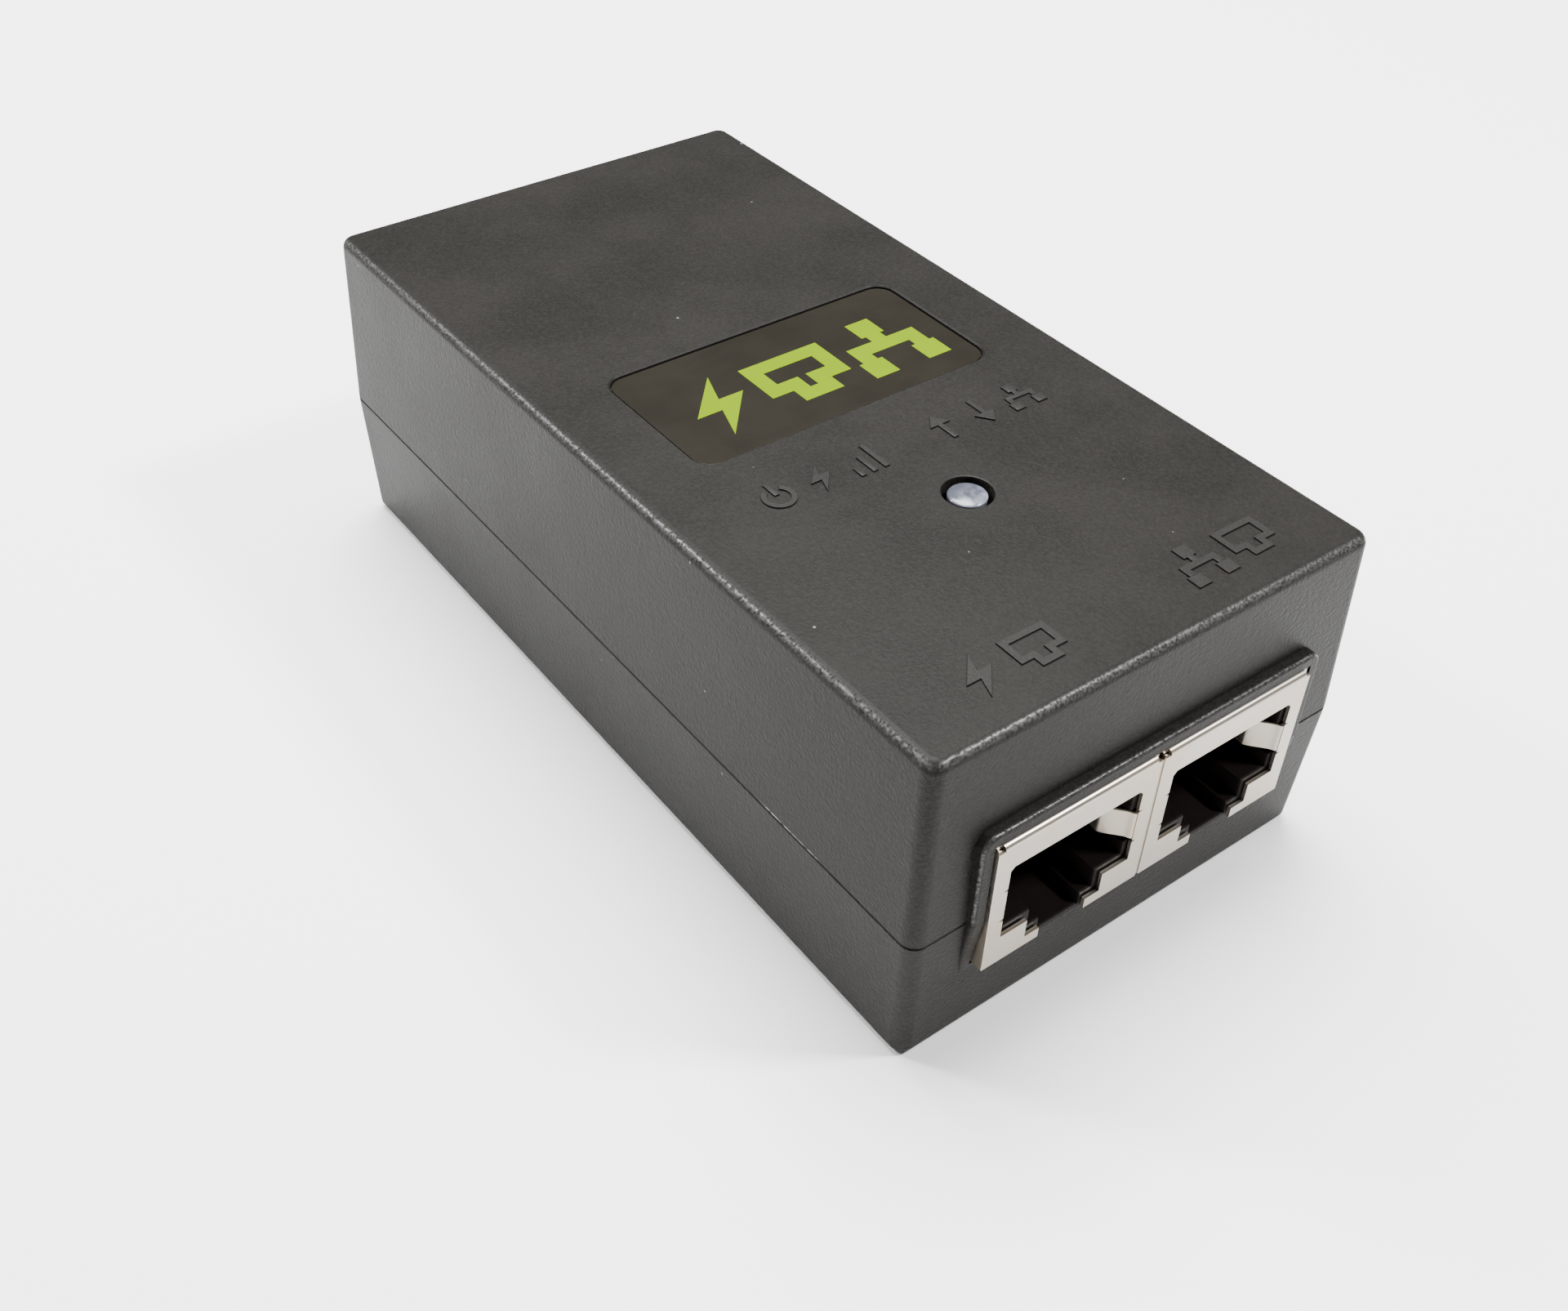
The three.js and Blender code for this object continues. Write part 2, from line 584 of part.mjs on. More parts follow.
/** The lower half of the case. */
function lowerShell() {
  const x = BASE_LABEL_WIDTH / 2;
  const y = BASE_LABEL_LENGTH / 2;
  const recess = roundedRectangle(-x, x, -y, y, LABEL_RADIUS);
  return draftedHalf(HALF_WIDTH, HALF_LENGTH, CORNER_RADIUS, 0, RIM_RADIUS, -1)
    .intersect(halfSpace(SEAM_HEIGHT, -1))
    .add(portBezel(-1))
    .add(inletFrame(-1))
    .subtract(draftedHalf(INNER_HALF_WIDTH, INNER_HALF_LENGTH, 0.4, WALL, 0, -1))
    .add(boardLedges())
    .add(seamLip())
    .subtract(portOpening())
    .subtract(inletOpening())
    .subtract(upright(recess, -EPS, BASE_LABEL_RECESS));
}

/** A thin label lying in a recess. */
function labelPlate(width, length, y, z0, thickness) {
  const halfX = width / 2 - LABEL_GAP;
  const halfY = length / 2 - LABEL_GAP;
  const shape = roundedRectangle(-halfX, halfX, y - halfY, y + halfY, LABEL_RADIUS - LABEL_GAP);
  return upright(shape, z0, z0 + thickness);
}

// ---------------------------------------------------------------- jacks
/** A symmetric stepped outline about x: [half width, height] pairs from the latch's foot up. */
function steppedOutline(x, right) {
  const left = right.map(([half, z]) => [-half, z]).reverse();
  return outline([...right, ...left].map(([a, b]) => [x + a, b]));
}

/** The shield's cut-out: the plug's body, a step, and the latch's slot, open at the foot. */
function cutoutOutline(x) {
  const main = JACK_FLOOR + CUTOUT_FLOOR;
  const step = JACK_FLOOR + STEP_FLOOR;
  return steppedOutline(x, [
    [LATCH_HALF_WIDTH, JACK_FLOOR - EPS], [LATCH_HALF_WIDTH, step], [STEP_HALF_WIDTH, step],
    [STEP_HALF_WIDTH, main], [CUTOUT_HALF_WIDTH, main], [CUTOUT_HALF_WIDTH, main + CUTOUT_HEIGHT],
  ]);
}

/** The insert's keyway: the cut-out drawn in by an inset, and closed under the latch. */
function keywayOutline(x, top) {
  const main = JACK_FLOOR + CUTOUT_FLOOR + KEYWAY_INSET;
  const step = JACK_FLOOR + STEP_FLOOR + KEYWAY_INSET;
  const body = CUTOUT_HALF_WIDTH - KEYWAY_INSET;
  const shelf = STEP_HALF_WIDTH - KEYWAY_INSET;
  const latch = LATCH_HALF_WIDTH - LATCH_INSET;
  return steppedOutline(x, [
    [latch, JACK_FLOOR + LATCH_SILL], [latch, step], [shelf, step], [shelf, main], [body, main], [body, top],
  ]);
}

/** A spring finger of the shield, on the side given by 1 or -1. */
function shieldFinger(x, side) {
  const edge = CUTOUT_HALF_WIDTH;
  const tip = edge - FINGER_REACH;
  const y = FRONT_FACE;
  const back = y + FINGER_LENGTH;
  const knee = y + FINGER_LENGTH * 0.55;
  const path = [
    [edge + SHEET, y], [edge + SHEET, y + SHEET], [edge - SHEET, y + 2 * SHEET], [tip, knee],
    [tip + SHEET, back], [tip, back], [tip - SHEET, knee], [edge - 2 * SHEET, y + SHEET], [edge - SHEET, y],
  ];
  const shape = outline(path.map(([a, b]) => [x + side * a, b]));
  return upright(shape, JACK_FLOOR + FINGER_FLOOR, JACK_FLOOR + FINGER_FLOOR + FINGER_HEIGHT);
}

/** The folded sheet-metal shield of one jack. */
function jackShield(x) {
  const half = JACK_WIDTH / 2;
  const outer = block(x - half, x + half, FRONT_FACE, JACK_BACK, JACK_FLOOR, JACK_TOP);
  const hollow = block(
    x - half + SHEET, x + half - SHEET, FRONT_FACE + SHEET, JACK_BACK - SHEET,
    JACK_FLOOR - EPS, JACK_TOP - SHEET);
  return outer
    .subtract(hollow)
    .subtract(alongY(cutoutOutline(x), FRONT_FACE - EPS, FRONT_FACE + SHEET + EPS))
    .add(shieldFinger(x, 1))
    .add(shieldFinger(x, -1));
}

/** The moulded insert of one jack, with its stepped keyway, its finger pockets and its contact well. */
function jackInsert(x) {
  const half = JACK_WIDTH / 2 - SHEET - INSERT_GAP;
  const front = FRONT_FACE + SHEET + INSERT_GAP;
  const back = JACK_BACK - SHEET - INSERT_GAP;
  const top = JACK_TOP - SHEET - INSERT_GAP;
  const keywayTop = JACK_FLOOR + CUTOUT_FLOOR + CUTOUT_HEIGHT + INSERT_GAP;
  const keyway = alongY(keywayOutline(x, keywayTop), front - EPS, FRONT_FACE + KEYWAY_DEPTH);
  const wellHalf = (CONTACT_COUNT - 1) / 2 * CONTACT_PITCH + CONTACT_WIDTH;
  const wellFront = FRONT_FACE + CONTACT_ROOT_DEPTH - 0.8;
  const wellBack = FRONT_FACE + KEYWAY_DEPTH;
  const pocketHalf = CUTOUT_HALF_WIDTH + SHEET + 2 * INSERT_GAP;
  const pocketFloor = JACK_FLOOR + FINGER_FLOOR - 0.3;
  return block(x - half, x + half, front, back, JACK_FLOOR, top)
    .subtract(keyway)
    .subtract(block(x - wellHalf, x + wellHalf, wellFront, wellBack, keywayTop - EPS, top - 0.7))
    .subtract(block(
      x - pocketHalf, x + pocketHalf, front - EPS, FRONT_FACE + FINGER_LENGTH + 0.6,
      pocketFloor, pocketFloor + FINGER_HEIGHT + 0.6));
}

/** One spring contact: it turns down at its root and slopes back into the keyway. */
function jackContact(x) {
  const y = FRONT_FACE + CONTACT_ROOT_DEPTH;
  const z = JACK_TOP - CONTACT_ROOT_HEADROOM;
  const corner = [y - 0.35, z - 0.55];
  const tip = [y + CONTACT_RUN, z - CONTACT_DROP];
  const t = CONTACT_THICKNESS;
  const shape = outline([
    [y + 0.9, z + t], [y, z + t], [corner[0] - t, corner[1]], [corner[0], corner[1] - t],
    [tip[0] - 1.6, tip[1] - t * 0.6], [tip[0], tip[1] - t * 0.2], [tip[0], tip[1] + t * 0.8],
    [tip[0] - 1.6, tip[1] + t * 0.5], [corner[0] + t * 0.6, corner[1] + t * 0.2], [y + 0.1, z],
    [y + 0.9, z],
  ]);
  return alongX(shape, x - CONTACT_WIDTH / 2, x + CONTACT_WIDTH / 2);
}

// ---------------------------------------------------------------- indicator
/** The indicator's epoxy body: a flange, a barrel and a domed end. */
function indicatorBody() {
  const r = LED_DIAMETER / 2;
  const flange = LED_FLANGE / 2;
  const shoulder = LED_LENGTH - LED_DOME;
  const dome = [30, 60].map((degrees) => {
    const angle = THREE.MathUtils.degToRad(degrees);
    return [r * Math.cos(angle), shoulder + LED_DOME * Math.sin(angle)];
  });
  const profile = [
    [0, 0], [flange, 0], [flange, LED_FLANGE_HEIGHT], [r, LED_FLANGE_HEIGHT], [r, shoulder], ...dome,
    [0, LED_LENGTH],
  ];
  return turned(profile, 0, LED_Y, LED_FOOT, 24);
}

/** One of the indicator's legs, from its body down to the board. */
function indicatorLead(index) {
  return slab((index - 1) * LED_PITCH, LED_Y, LEAD_WIDTH, LEAD_WIDTH, BOARD_TOP, LED_FOOT - BOARD_TOP);
}

/** The stand that holds the indicator up, slotted for its legs. */
function indicatorStand() {
  const top = LED_FOOT - INSERT_GAP;
  const width = 2 * LED_PITCH + STAND_SLOT;
  const slot = slab(0, LED_Y, width, STAND_SLOT, BOARD_TOP - EPS, top - BOARD_TOP + 2 * EPS);
  return bar(0, LED_Y, STAND_DIAMETER / 2, BOARD_TOP, top).subtract(slot);
}

// ---------------------------------------------------------------- inlet
/** The cloverleaf outline of the inlet's well, in X and Z. */
function cloverOutlines(radius) {
  const lobe = (x, z) => {
    const shape = new THREE.Shape();
    shape.absarc(x, z, radius, 0, Math.PI * 2);
    return shape;
  };
  const half = LOBE_SPACING / 2;
  const notch = radius * NOTCH_SPREAD;
  const waist = outline([
    [INLET_X - half, LOBE_Z + notch], [INLET_X + half, LOBE_Z + notch],
    [INLET_X + radius * 0.8, LOBE_Z + EARTH_RISE], [INLET_X - radius * 0.8, LOBE_Z + EARTH_RISE],
  ]);
  return [
    lobe(INLET_X - half, LOBE_Z), lobe(INLET_X + half, LOBE_Z), lobe(INLET_X, LOBE_Z + EARTH_RISE), waist];
}

/** Where each pin stands, as [x, z]. */
const PIN_PLACES = {
  live_pin: [INLET_X - LOBE_SPACING / 2, LOBE_Z],
  neutral_pin: [INLET_X + LOBE_SPACING / 2, LOBE_Z],
  earth_pin: [INLET_X, LOBE_Z + EARTH_RISE],
};

/** Front of the shoulder that seats behind the end wall. */
function shoulderFront() {
  return INNER_HALF_LENGTH - draw(CASE_HEIGHT) - INLET_GAP;
}

/** The moulded inlet: a block with a cloverleaf well and a shoulder behind the end wall. */
function inletBody() {
  const x0 = INLET_X - INLET_HALF_WIDTH;
  const x1 = INLET_X + INLET_HALF_WIDTH;
  const outlineFront = roundedRectangle(x0, x1, INLET_FLOOR, INLET_TOP, 0.8);
  const shoulder = block(
    x0 - INLET_SHOULDER, x1 + INLET_SHOULDER, shoulderFront() - SHOULDER_LENGTH, shoulderFront(),
    INLET_FLOOR + 1, INLET_TOP - 1);
  const toeFace = HALF_LENGTH - draw(INLET_FLOOR) + TOE_PROUD;
  const toeCut = alongX(outline([
    [BACK_FACE, SEAM_HEIGHT], [toeFace, INLET_FLOOR], [toeFace, INLET_FLOOR - EPS],
    [BACK_FACE + EPS, INLET_FLOOR - EPS], [BACK_FACE + EPS, SEAM_HEIGHT],
  ]), x0 - EPS, x1 + EPS);
  let body = alongY(outlineFront, INLET_BACK, BACK_FACE).add(shoulder).subtract(toeCut);
  const wellFloor = BACK_FACE - WELL_DEPTH;
  for (const shape of cloverOutlines(LOBE_RADIUS)) {
    body = body.subtract(alongY(shape, wellFloor, BACK_FACE + EPS, 24));
  }
  for (const [x, z] of Object.values(PIN_PLACES)) {
    const hole = barAlongY(x, z, PIN_DIAMETER / 2 + PIN_GAP, INLET_BACK - EPS, wellFloor + EPS);
    body = body.subtract(hole);
  }
  return body;
}

/** A contact pin with a rounded nose, and a tail that turns down to the board. */
function inletPin([x, z]) {
  const r = PIN_DIAMETER / 2;
  const tip = BACK_FACE - PIN_RECESS;
  const root = INLET_BACK - PIN_ROOT;
  const profile = [
    [0, root], [r, root], [r, tip - PIN_NOSE], [r * 0.75, tip - PIN_NOSE / 3], [r * 0.35, tip], [0, tip],
  ];
  const points = profile.map(([a, b]) => new THREE.Vector2(a, b));
  const rod = new THREE.LatheGeometry(points, 20).translate(x, 0, z);
  const end = root - TAIL_REACH;
  const strap = block(
    x - TAIL_WIDTH / 2, x + TAIL_WIDTH / 2, end, root + EPS, z - TAIL_THICKNESS / 2, z + TAIL_THICKNESS / 2);
  const leg = block(
    x - TAIL_WIDTH / 2, x + TAIL_WIDTH / 2, end, end + TAIL_THICKNESS, BOARD_TOP + SEAT_GAP, z);
  return solid(rod).add(strap).add(leg);
}

// ---------------------------------------------------------------- circuit
/** The circuit board. */
function circuitBoard() {
  const shape = roundedRectangle(-BOARD_HALF_WIDTH, BOARD_HALF_WIDTH, BOARD_FRONT, BOARD_BACK, 1);
  return upright(shape, BOARD_UNDERSIDE, BOARD_TOP);
}

/** Legs at the four corners of a small package. */
function cornerLegs({ width, length }) {
  const x = width / 2 - LEG_WIDTH * 1.5;
  const y = length / 2 - LEG_WIDTH;
  return [[-x, -y], [x, -y], [-x, y], [x, y]];
}

/** A box part standing on the board on short legs. */
function leggedBox(size, y) {
  const { x, width, length } = size;
  const height = size.height ?? size.fill * ROOM;
  const legs = size.legs ?? cornerLegs(size);
  const body = slab(x, y, width, length, BOARD_TOP + LEG_LIFT, height);
  const feet = legs.map(([dx, dy]) => slab(x + dx, y + dy, LEG_WIDTH, LEG_WIDTH, BOARD_TOP, LEG_LIFT + EPS));
  return joined([body, ...feet]);
}

/** A disc part standing on edge, with two legs. */
function standingDisc({ x, radius, thickness }, y) {
  const z = BOARD_TOP + radius + 2 * LEG_LIFT;
  const disc = barAlongY(x, z, radius, y - thickness / 2, y + thickness / 2, 24);
  const legs = [-1, 1].map(
    (side) => slab(x + side * radius * 0.55, y, LEG_WIDTH, LEG_WIDTH, BOARD_TOP, radius));
  return joined([disc, ...legs]);
}

/** A round can with a crimp groove near its foot. */
function canCapacitor({ x, y, radius, fill }) {
  const height = fill * ROOM;
  const groove = radius - 0.35;
  return turned([
    [0, 0], [radius, 0], [radius, 1.6], [groove, 1.9], [groove, 2.2], [radius, 2.5],
    [radius, height - 0.4], [radius - 0.4, height], [0, height],
  ], x, y, BOARD_TOP, 24);
}

/** A ring laid flat: a toroidal core with its winding. */
function ringChoke({ x, radius, height }, y) {
  const inner = radius * 0.42;
  const round = 0.5;
  const ring = [
    [inner, round], [inner + round, 0], [radius - round, 0], [radius, round], [radius, height - round],
    [radius - round, height], [inner + round, height], [inner, height - round], [inner, round],
  ];
  const geometry = new THREE.LatheGeometry(ring.map(([a, b]) => new THREE.Vector2(a, b)), 28);
  return solid(geometry.rotateX(Math.PI / 2).translate(x, y, BOARD_TOP));
}

/** A drum-core choke: two flanges and the winding between them. */
function drumChoke({ x, y, radius, height }) {
  const waist = radius - 0.8;
  const flange = 1.4;
  return turned([
    [0, 0], [radius, 0], [radius, flange], [waist, flange], [waist, height - flange],
    [radius, height - flange], [radius, height], [0, height],
  ], x, y, BOARD_TOP, 24);
}

/** A power package upright in front of its heat sink, with three legs. */
function tabPackage(sink) {
  const y = sink.y - (SINK_THICKNESS + TAB_THICKNESS) / 2 - PASTE_GAP;
  const height = sink.fill * ROOM - SINK_THICKNESS - TAB_HEADROOM - TAB_LIFT;
  const body = slab(sink.x, y, TAB_WIDTH, TAB_THICKNESS, BOARD_TOP + TAB_LIFT, height);
  const legs = [-TAB_LEG_PITCH, 0, TAB_LEG_PITCH].map(
    (dx) => slab(sink.x + dx, y, LEG_WIDTH * 1.5, LEG_WIDTH, BOARD_TOP, TAB_LIFT + EPS));
  return joined([body, ...legs]);
}

/** A flat heat sink standing on two feet, with its top edge folded over towards the jacks. */
function heatSink({ x, y, width, fill }) {
  const height = fill * ROOM;
  const t = SINK_THICKNESS;
  const reach = TAB_THICKNESS;
  const plate = slab(x, y, width, t, BOARD_TOP + 1, height - 1);
  const feet = [-1, 1].map((side) => slab(x + side * (width / 2 - 2), y, 2, t, BOARD_TOP, 1 + EPS));
  const fold = slab(x, y - (reach - t) / 2, width, reach, BOARD_TOP + height - t, t);
  return joined([plate, fold, ...feet]);
}

/** The transformer's ferrite core: a frame with a leg down its middle. */
function transformerCore() {
  const { x, y, width, depth, limb, leg, foot } = CORE;
  const height = CORE.fill * ROOM;
  const z0 = BOARD_TOP + foot;
  const frame = block(x - width / 2, x + width / 2, y - depth / 2, y + depth / 2, z0, z0 + height);
  const windowWidth = (width - 2 * limb - leg) / 2;
  const windows = [-1, 1].map((side) => {
    const middle = x + side * (leg + windowWidth) / 2;
    return slab(middle, y, windowWidth, depth + 2 * EPS, z0 + limb, height - 2 * limb);
  });
  return frame.subtract(joined(windows));
}

/** The winding and its taped outside, round the middle leg of the core. */
function transformerWinding() {
  const { x, y, width, depth, limb, leg, foot } = CORE;
  const height = CORE.fill * ROOM;
  const gap = 0.3;
  const z0 = BOARD_TOP + foot + limb + gap;
  const rise = height - 2 * limb - 2 * gap;
  const outerX = width / 2 - limb - gap;
  const outerY = depth / 2 + (outerX - leg / 2);
  const shape = roundedRectangle(x - outerX, x + outerX, y - outerY, y + outerY, 2);
  const hole = slab(x, y, leg + 2 * gap, depth + 2 * gap, z0 - EPS, rise + 2 * EPS);
  return upright(shape, z0, z0 + rise).subtract(hole);
}

/** A thin insulating film on the floor of the case, under the mains half of the board. */
function insulationFilm() {
  const halfX = BOARD_HALF_WIDTH - LEDGE_WIDTH - 1;
  return block(-halfX, halfX, FILM_FRONT, BOARD_BACK - 1, WALL, WALL + FILM_THICKNESS);
}

// ---------------------------------------------------------------- assembly
const group = new THREE.Group();

group.add(part('upper_shell', upperShell(), 'case'));
group.add(part('lower_shell', lowerShell(), 'case'));
group.add(part(
  'top_label',
  labelPlate(LABEL_WIDTH, LABEL_LENGTH, LABEL_Y, CASE_HEIGHT - LABEL_RECESS, LABEL_THICKNESS), 'label'));
group.add(part(
  'base_label',
  labelPlate(
    BASE_LABEL_WIDTH, BASE_LABEL_LENGTH, 0, BASE_LABEL_RECESS - BASE_LABEL_THICKNESS, BASE_LABEL_THICKNESS),
  'paper'));

for (const [side, x] of [['left', -JACK_PITCH / 2], ['right', JACK_PITCH / 2]]) {
  group.add(part(`${side}_port_shield`, jackShield(x), 'nickel'));
  group.add(part(`${side}_port_insert`, jackInsert(x), 'insert'));
  for (let i = 0; i < CONTACT_COUNT; i += 1) {
    const shift = (i - (CONTACT_COUNT - 1) / 2) * CONTACT_PITCH;
    group.add(part(`${side}_port_contact_${i + 1}`, jackContact(x + shift), 'contact'));
  }
}

group.add(part('inlet_body', inletBody(), 'insert'));
for (const [name, place] of Object.entries(PIN_PLACES)) {
  group.add(part(name, inletPin(place), 'lead'));
}

group.add(part('indicator_body', indicatorBody(), 'lens'));
group.add(part('indicator_stand', indicatorStand(), 'insert'));
['red', 'common', 'green'].forEach((name, index) => {
  group.add(part(`indicator_${name}_lead`, indicatorLead(index), 'lead'));
});

group.add(part('circuit_board', circuitBoard(), 'board'));
group.add(part('insulation_film', insulationFilm(), 'film'));
group.add(part('mains_fuse', leggedBox(FUSE, BOARD_BACK - FUSE.fromBack), 'package'));
group.add(part(
  'inrush_thermistor', standingDisc(THERMISTOR, BOARD_BACK - THERMISTOR.fromBack), 'greenCoat'));
group.add(part('mains_filter_capacitor', leggedBox(FILTER, BOARD_BACK - FILTER.fromBack), 'tape'));
group.add(part('mains_choke', ringChoke(MAINS_CHOKE, BOARD_BACK - MAINS_CHOKE.fromBack), 'copper'));
group.add(part('bridge_rectifier', leggedBox(BRIDGE, BRIDGE.y), 'package'));
group.add(part('mains_capacitor', canCapacitor(MAINS_CAN), 'sleeve'));
group.add(part('transformer_core', transformerCore(), 'ferrite'));
group.add(part('transformer_winding', transformerWinding(), 'tape'));
group.add(part('switch_transistor', tabPackage(SWITCH_SINK), 'package'));
group.add(part('switch_heat_sink', heatSink(SWITCH_SINK), 'heatSink'));
group.add(part('output_diode', tabPackage(OUTPUT_SINK), 'package'));
group.add(part('output_heat_sink', heatSink(OUTPUT_SINK), 'heatSink'));
group.add(part('output_capacitor_1', canCapacitor(OUTPUT_CAN_1), 'sleeve'));
group.add(part('output_capacitor_2', canCapacitor(OUTPUT_CAN_2), 'sleeve'));
group.add(part('output_choke', drumChoke(OUTPUT_CHOKE), 'copper'));
group.add(part('feedback_optocoupler', leggedBox(OPTOCOUPLER, OPTOCOUPLER.y), 'package'));
group.add(part('safety_capacitor', standingDisc(SAFETY_DISC, SAFETY_DISC.y), 'blueCoat'));
group.add(part('power_controller', leggedBox(CONTROLLER, CONTROLLER.y), 'package'));

export default group;
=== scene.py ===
"""PoE injector: the looks of the case, jacks, inlet, label and indicator round the CAD frame.

Lengths in the classes are millimetres. Each finished piece is written in metres, in the frame of
the CAD: the origin is the middle of the underside, +Z is up, the jacks face -Y and the inlet +Y.
"""
import logging
import math
from collections.abc import Callable, Sequence
from dataclasses import dataclass
from enum import Enum

import bmesh
import bpy
from mathutils import Matrix, Vector


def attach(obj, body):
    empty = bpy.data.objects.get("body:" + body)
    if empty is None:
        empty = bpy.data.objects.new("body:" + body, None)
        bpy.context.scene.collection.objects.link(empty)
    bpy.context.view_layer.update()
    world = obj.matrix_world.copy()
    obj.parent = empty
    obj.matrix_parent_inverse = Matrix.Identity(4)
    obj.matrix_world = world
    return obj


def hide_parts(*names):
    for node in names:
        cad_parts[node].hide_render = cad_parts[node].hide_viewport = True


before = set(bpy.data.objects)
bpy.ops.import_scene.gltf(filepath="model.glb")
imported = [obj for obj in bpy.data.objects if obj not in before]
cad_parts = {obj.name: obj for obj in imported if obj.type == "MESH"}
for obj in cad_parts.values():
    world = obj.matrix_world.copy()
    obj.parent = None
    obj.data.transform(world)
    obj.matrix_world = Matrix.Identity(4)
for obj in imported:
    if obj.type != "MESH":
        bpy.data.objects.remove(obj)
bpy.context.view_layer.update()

MM = 0.001
HOUSING = "housing"
SEAM = 13.4
LAMP_Y = -21.3
LABEL_Y = 0.2
JACK_X = 8.15
INLET_X = 6.5
log = logging.getLogger("injector")

Point = tuple[float, float]
Place = tuple[float, float, float]


class Axis(Enum):
    """A direction of the frame, by its index in a vector."""

    X = 0
    Y = 1
    Z = 2


class Cut(Enum):
    """How one solid acts on another."""

    JOIN = "UNION"
    REMOVE = "DIFFERENCE"
    KEEP = "INTERSECT"


# ---------------------------------------------------------------- shaping
class Form:
    """A closed solid in millimetres, shaped with mesh operators and then made into an object."""

    def __init__(self, mesh: bmesh.types.BMesh | None = None) -> None:
        """Start from a mesh, or from nothing."""
        self.mesh = mesh or bmesh.new()

    @classmethod
    def block(cls, low: Place, high: Place) -> "Form":
        """A box between two opposite corners.

        Args:
            low: One corner.
            high: The other.

        Returns:
            The box.
        """
        form = cls()
        size = [abs(b - a) for a, b in zip(low, high)]
        middle = [(a + b) / 2 for a, b in zip(low, high)]
        bmesh.ops.create_cube(form.mesh, size=1, matrix=Matrix.LocRotScale(middle, None, size))
        return form

    @classmethod
    def prism(cls, outline: Sequence[Point], along: Axis, start: float, end: float) -> "Form":
        """An outline drawn out along an axis.

        Args:
            outline: Corners in the two other axes, in the order X, Y, Z.
            along: The axis that the outline is drawn out along.
            start: Where it starts on that axis.
            end: Where it ends.

        Returns:
            The prism.
        """
        form = cls()
        corners = []
        for a, b in outline:
            place = [a, b]
            place.insert(along.value, start)
            corners.append(form.mesh.verts.new(place))
        face = form.mesh.faces.new(corners)
        drawn = bmesh.ops.extrude_face_region(form.mesh, geom=[face])["geom"]
        reach = [0.0, 0.0, 0.0]
        reach[along.value] = end - start
        moved = [v for v in drawn if isinstance(v, bmesh.types.BMVert)]
        bmesh.ops.translate(form.mesh, verts=moved, vec=reach)
        return form.faced()

    @classmethod
    def turned(cls, profile: Sequence[Point], along: Axis, centre: Place, steps: int) -> "Form":
        """A profile spun once round an axis.

        Args:
            profile: Pairs of radius and place along the axis, starting and ending on the axis.
            along: The axis of the turning.
            centre: A point on the axis.
            steps: How many steps make the full turn.

        Returns:
            The turned solid.
        """
        form = cls()
        points = [form.mesh.verts.new((radius, 0, height)) for radius, height in profile]
        edges = [form.mesh.edges.new(pair) for pair in zip(points, points[1:])]
        bmesh.ops.spin(form.mesh, geom=points + edges, cent=(0, 0, 0), axis=(0, 0, 1),
                       angle=math.tau, steps=steps, use_merge=True)
        bmesh.ops.remove_doubles(form.mesh, verts=form.mesh.verts, dist=1e-4)
        turn = {Axis.X: Matrix.Rotation(math.pi / 2, 4, "Y"),
                Axis.Y: Matrix.Rotation(-math.pi / 2, 4, "X"), Axis.Z: Matrix.Identity(4)}[along]
        bmesh.ops.transform(form.mesh, matrix=Matrix.Translation(centre) @ turn, verts=form.mesh.verts)
        return form.faced()

    @classmethod
    def drum(cls, radius: float, ends: Point, along: Axis, centre: Place, steps: int) -> "Form":
        """A cylinder.

        Args:
            radius: Its radius.
            ends: Where it starts and ends on its axis, from the centre.
            along: The direction of its axis.
            centre: A point on the axis.
            steps: How many sides it has.

        Returns:
            The cylinder.
        """
        start, end = ends
        return cls.turned([(0, start), (radius, start), (radius, end), (0, end)], along, centre, steps)

    @classmethod
    def plate(cls, half: Point, y: float, corner: float, heights: Point, steps: int = 6) -> "Form":
        """A plate with round corners that lies flat, with its middle at X 0.

        Args:
            half: Half its width and half its length.
            y: Its middle along Y.
            corner: The radius of its corners.
            heights: The heights of its underside and its top.
            steps: Steps to a corner.

        Returns:
            The plate.
        """
        outline = rounded_rectangle((-half[0], y - half[1]), (half[0], y + half[1]), corner, steps)
        return cls.prism(outline, Axis.Z, *heights)

    @classmethod
    def swept(cls, path: Sequence[Place], side: Vector, width: float, thickness: float) -> "Form":
        """A flat strip with rounded edges, bent along a path that lies square to `side`.

        Args:
            path: The middle of the strip.
            side: The direction of the strip's width.
            width: The strip's width.
            thickness: The strip's thickness.

        Returns:
            The strip, closed at both ends.
        """
        form = cls()
        round_off = thickness * 0.3
        ring: list[bmesh.types.BMVert] = []
        points = [Vector(p) for p in path]
        for index, point in enumerate(points):
            ahead = (points[min(index + 1, len(points) - 1)] - points[max(index - 1, 0)]).normalized()
            rise = side.cross(ahead).normalized()
            across, up = width / 2, thickness / 2
            corners = [(-across + round_off, -up), (across - round_off, -up), (across, -up + round_off),
                       (across, up - round_off), (across - round_off, up), (-across + round_off, up),
                       (-across, up - round_off), (-across, -up + round_off)]
            places = [point + side * a + rise * b for a, b in corners]
            if not ring:
                ring = [form.mesh.verts.new(p) for p in places]
                face = form.mesh.faces.new(ring)
                continue
            drawn = bmesh.ops.extrude_face_region(form.mesh, geom=[face])["geom"]
            new = [f for f in drawn if isinstance(f, bmesh.types.BMFace)][0]
            if index > 1:
                bmesh.ops.delete(form.mesh, geom=[face], context="FACES_ONLY")
            face = new
            for vert in face.verts:
                nearest = min(range(8), key=lambda k: (ring[k].co - vert.co).length)
                vert.index = nearest
            ordered = {vert.index: vert for vert in face.verts}
            ring = [ordered[k] for k in range(8)]
            for vert, place in zip(ring, places):
                vert.co = place
        return form.faced()

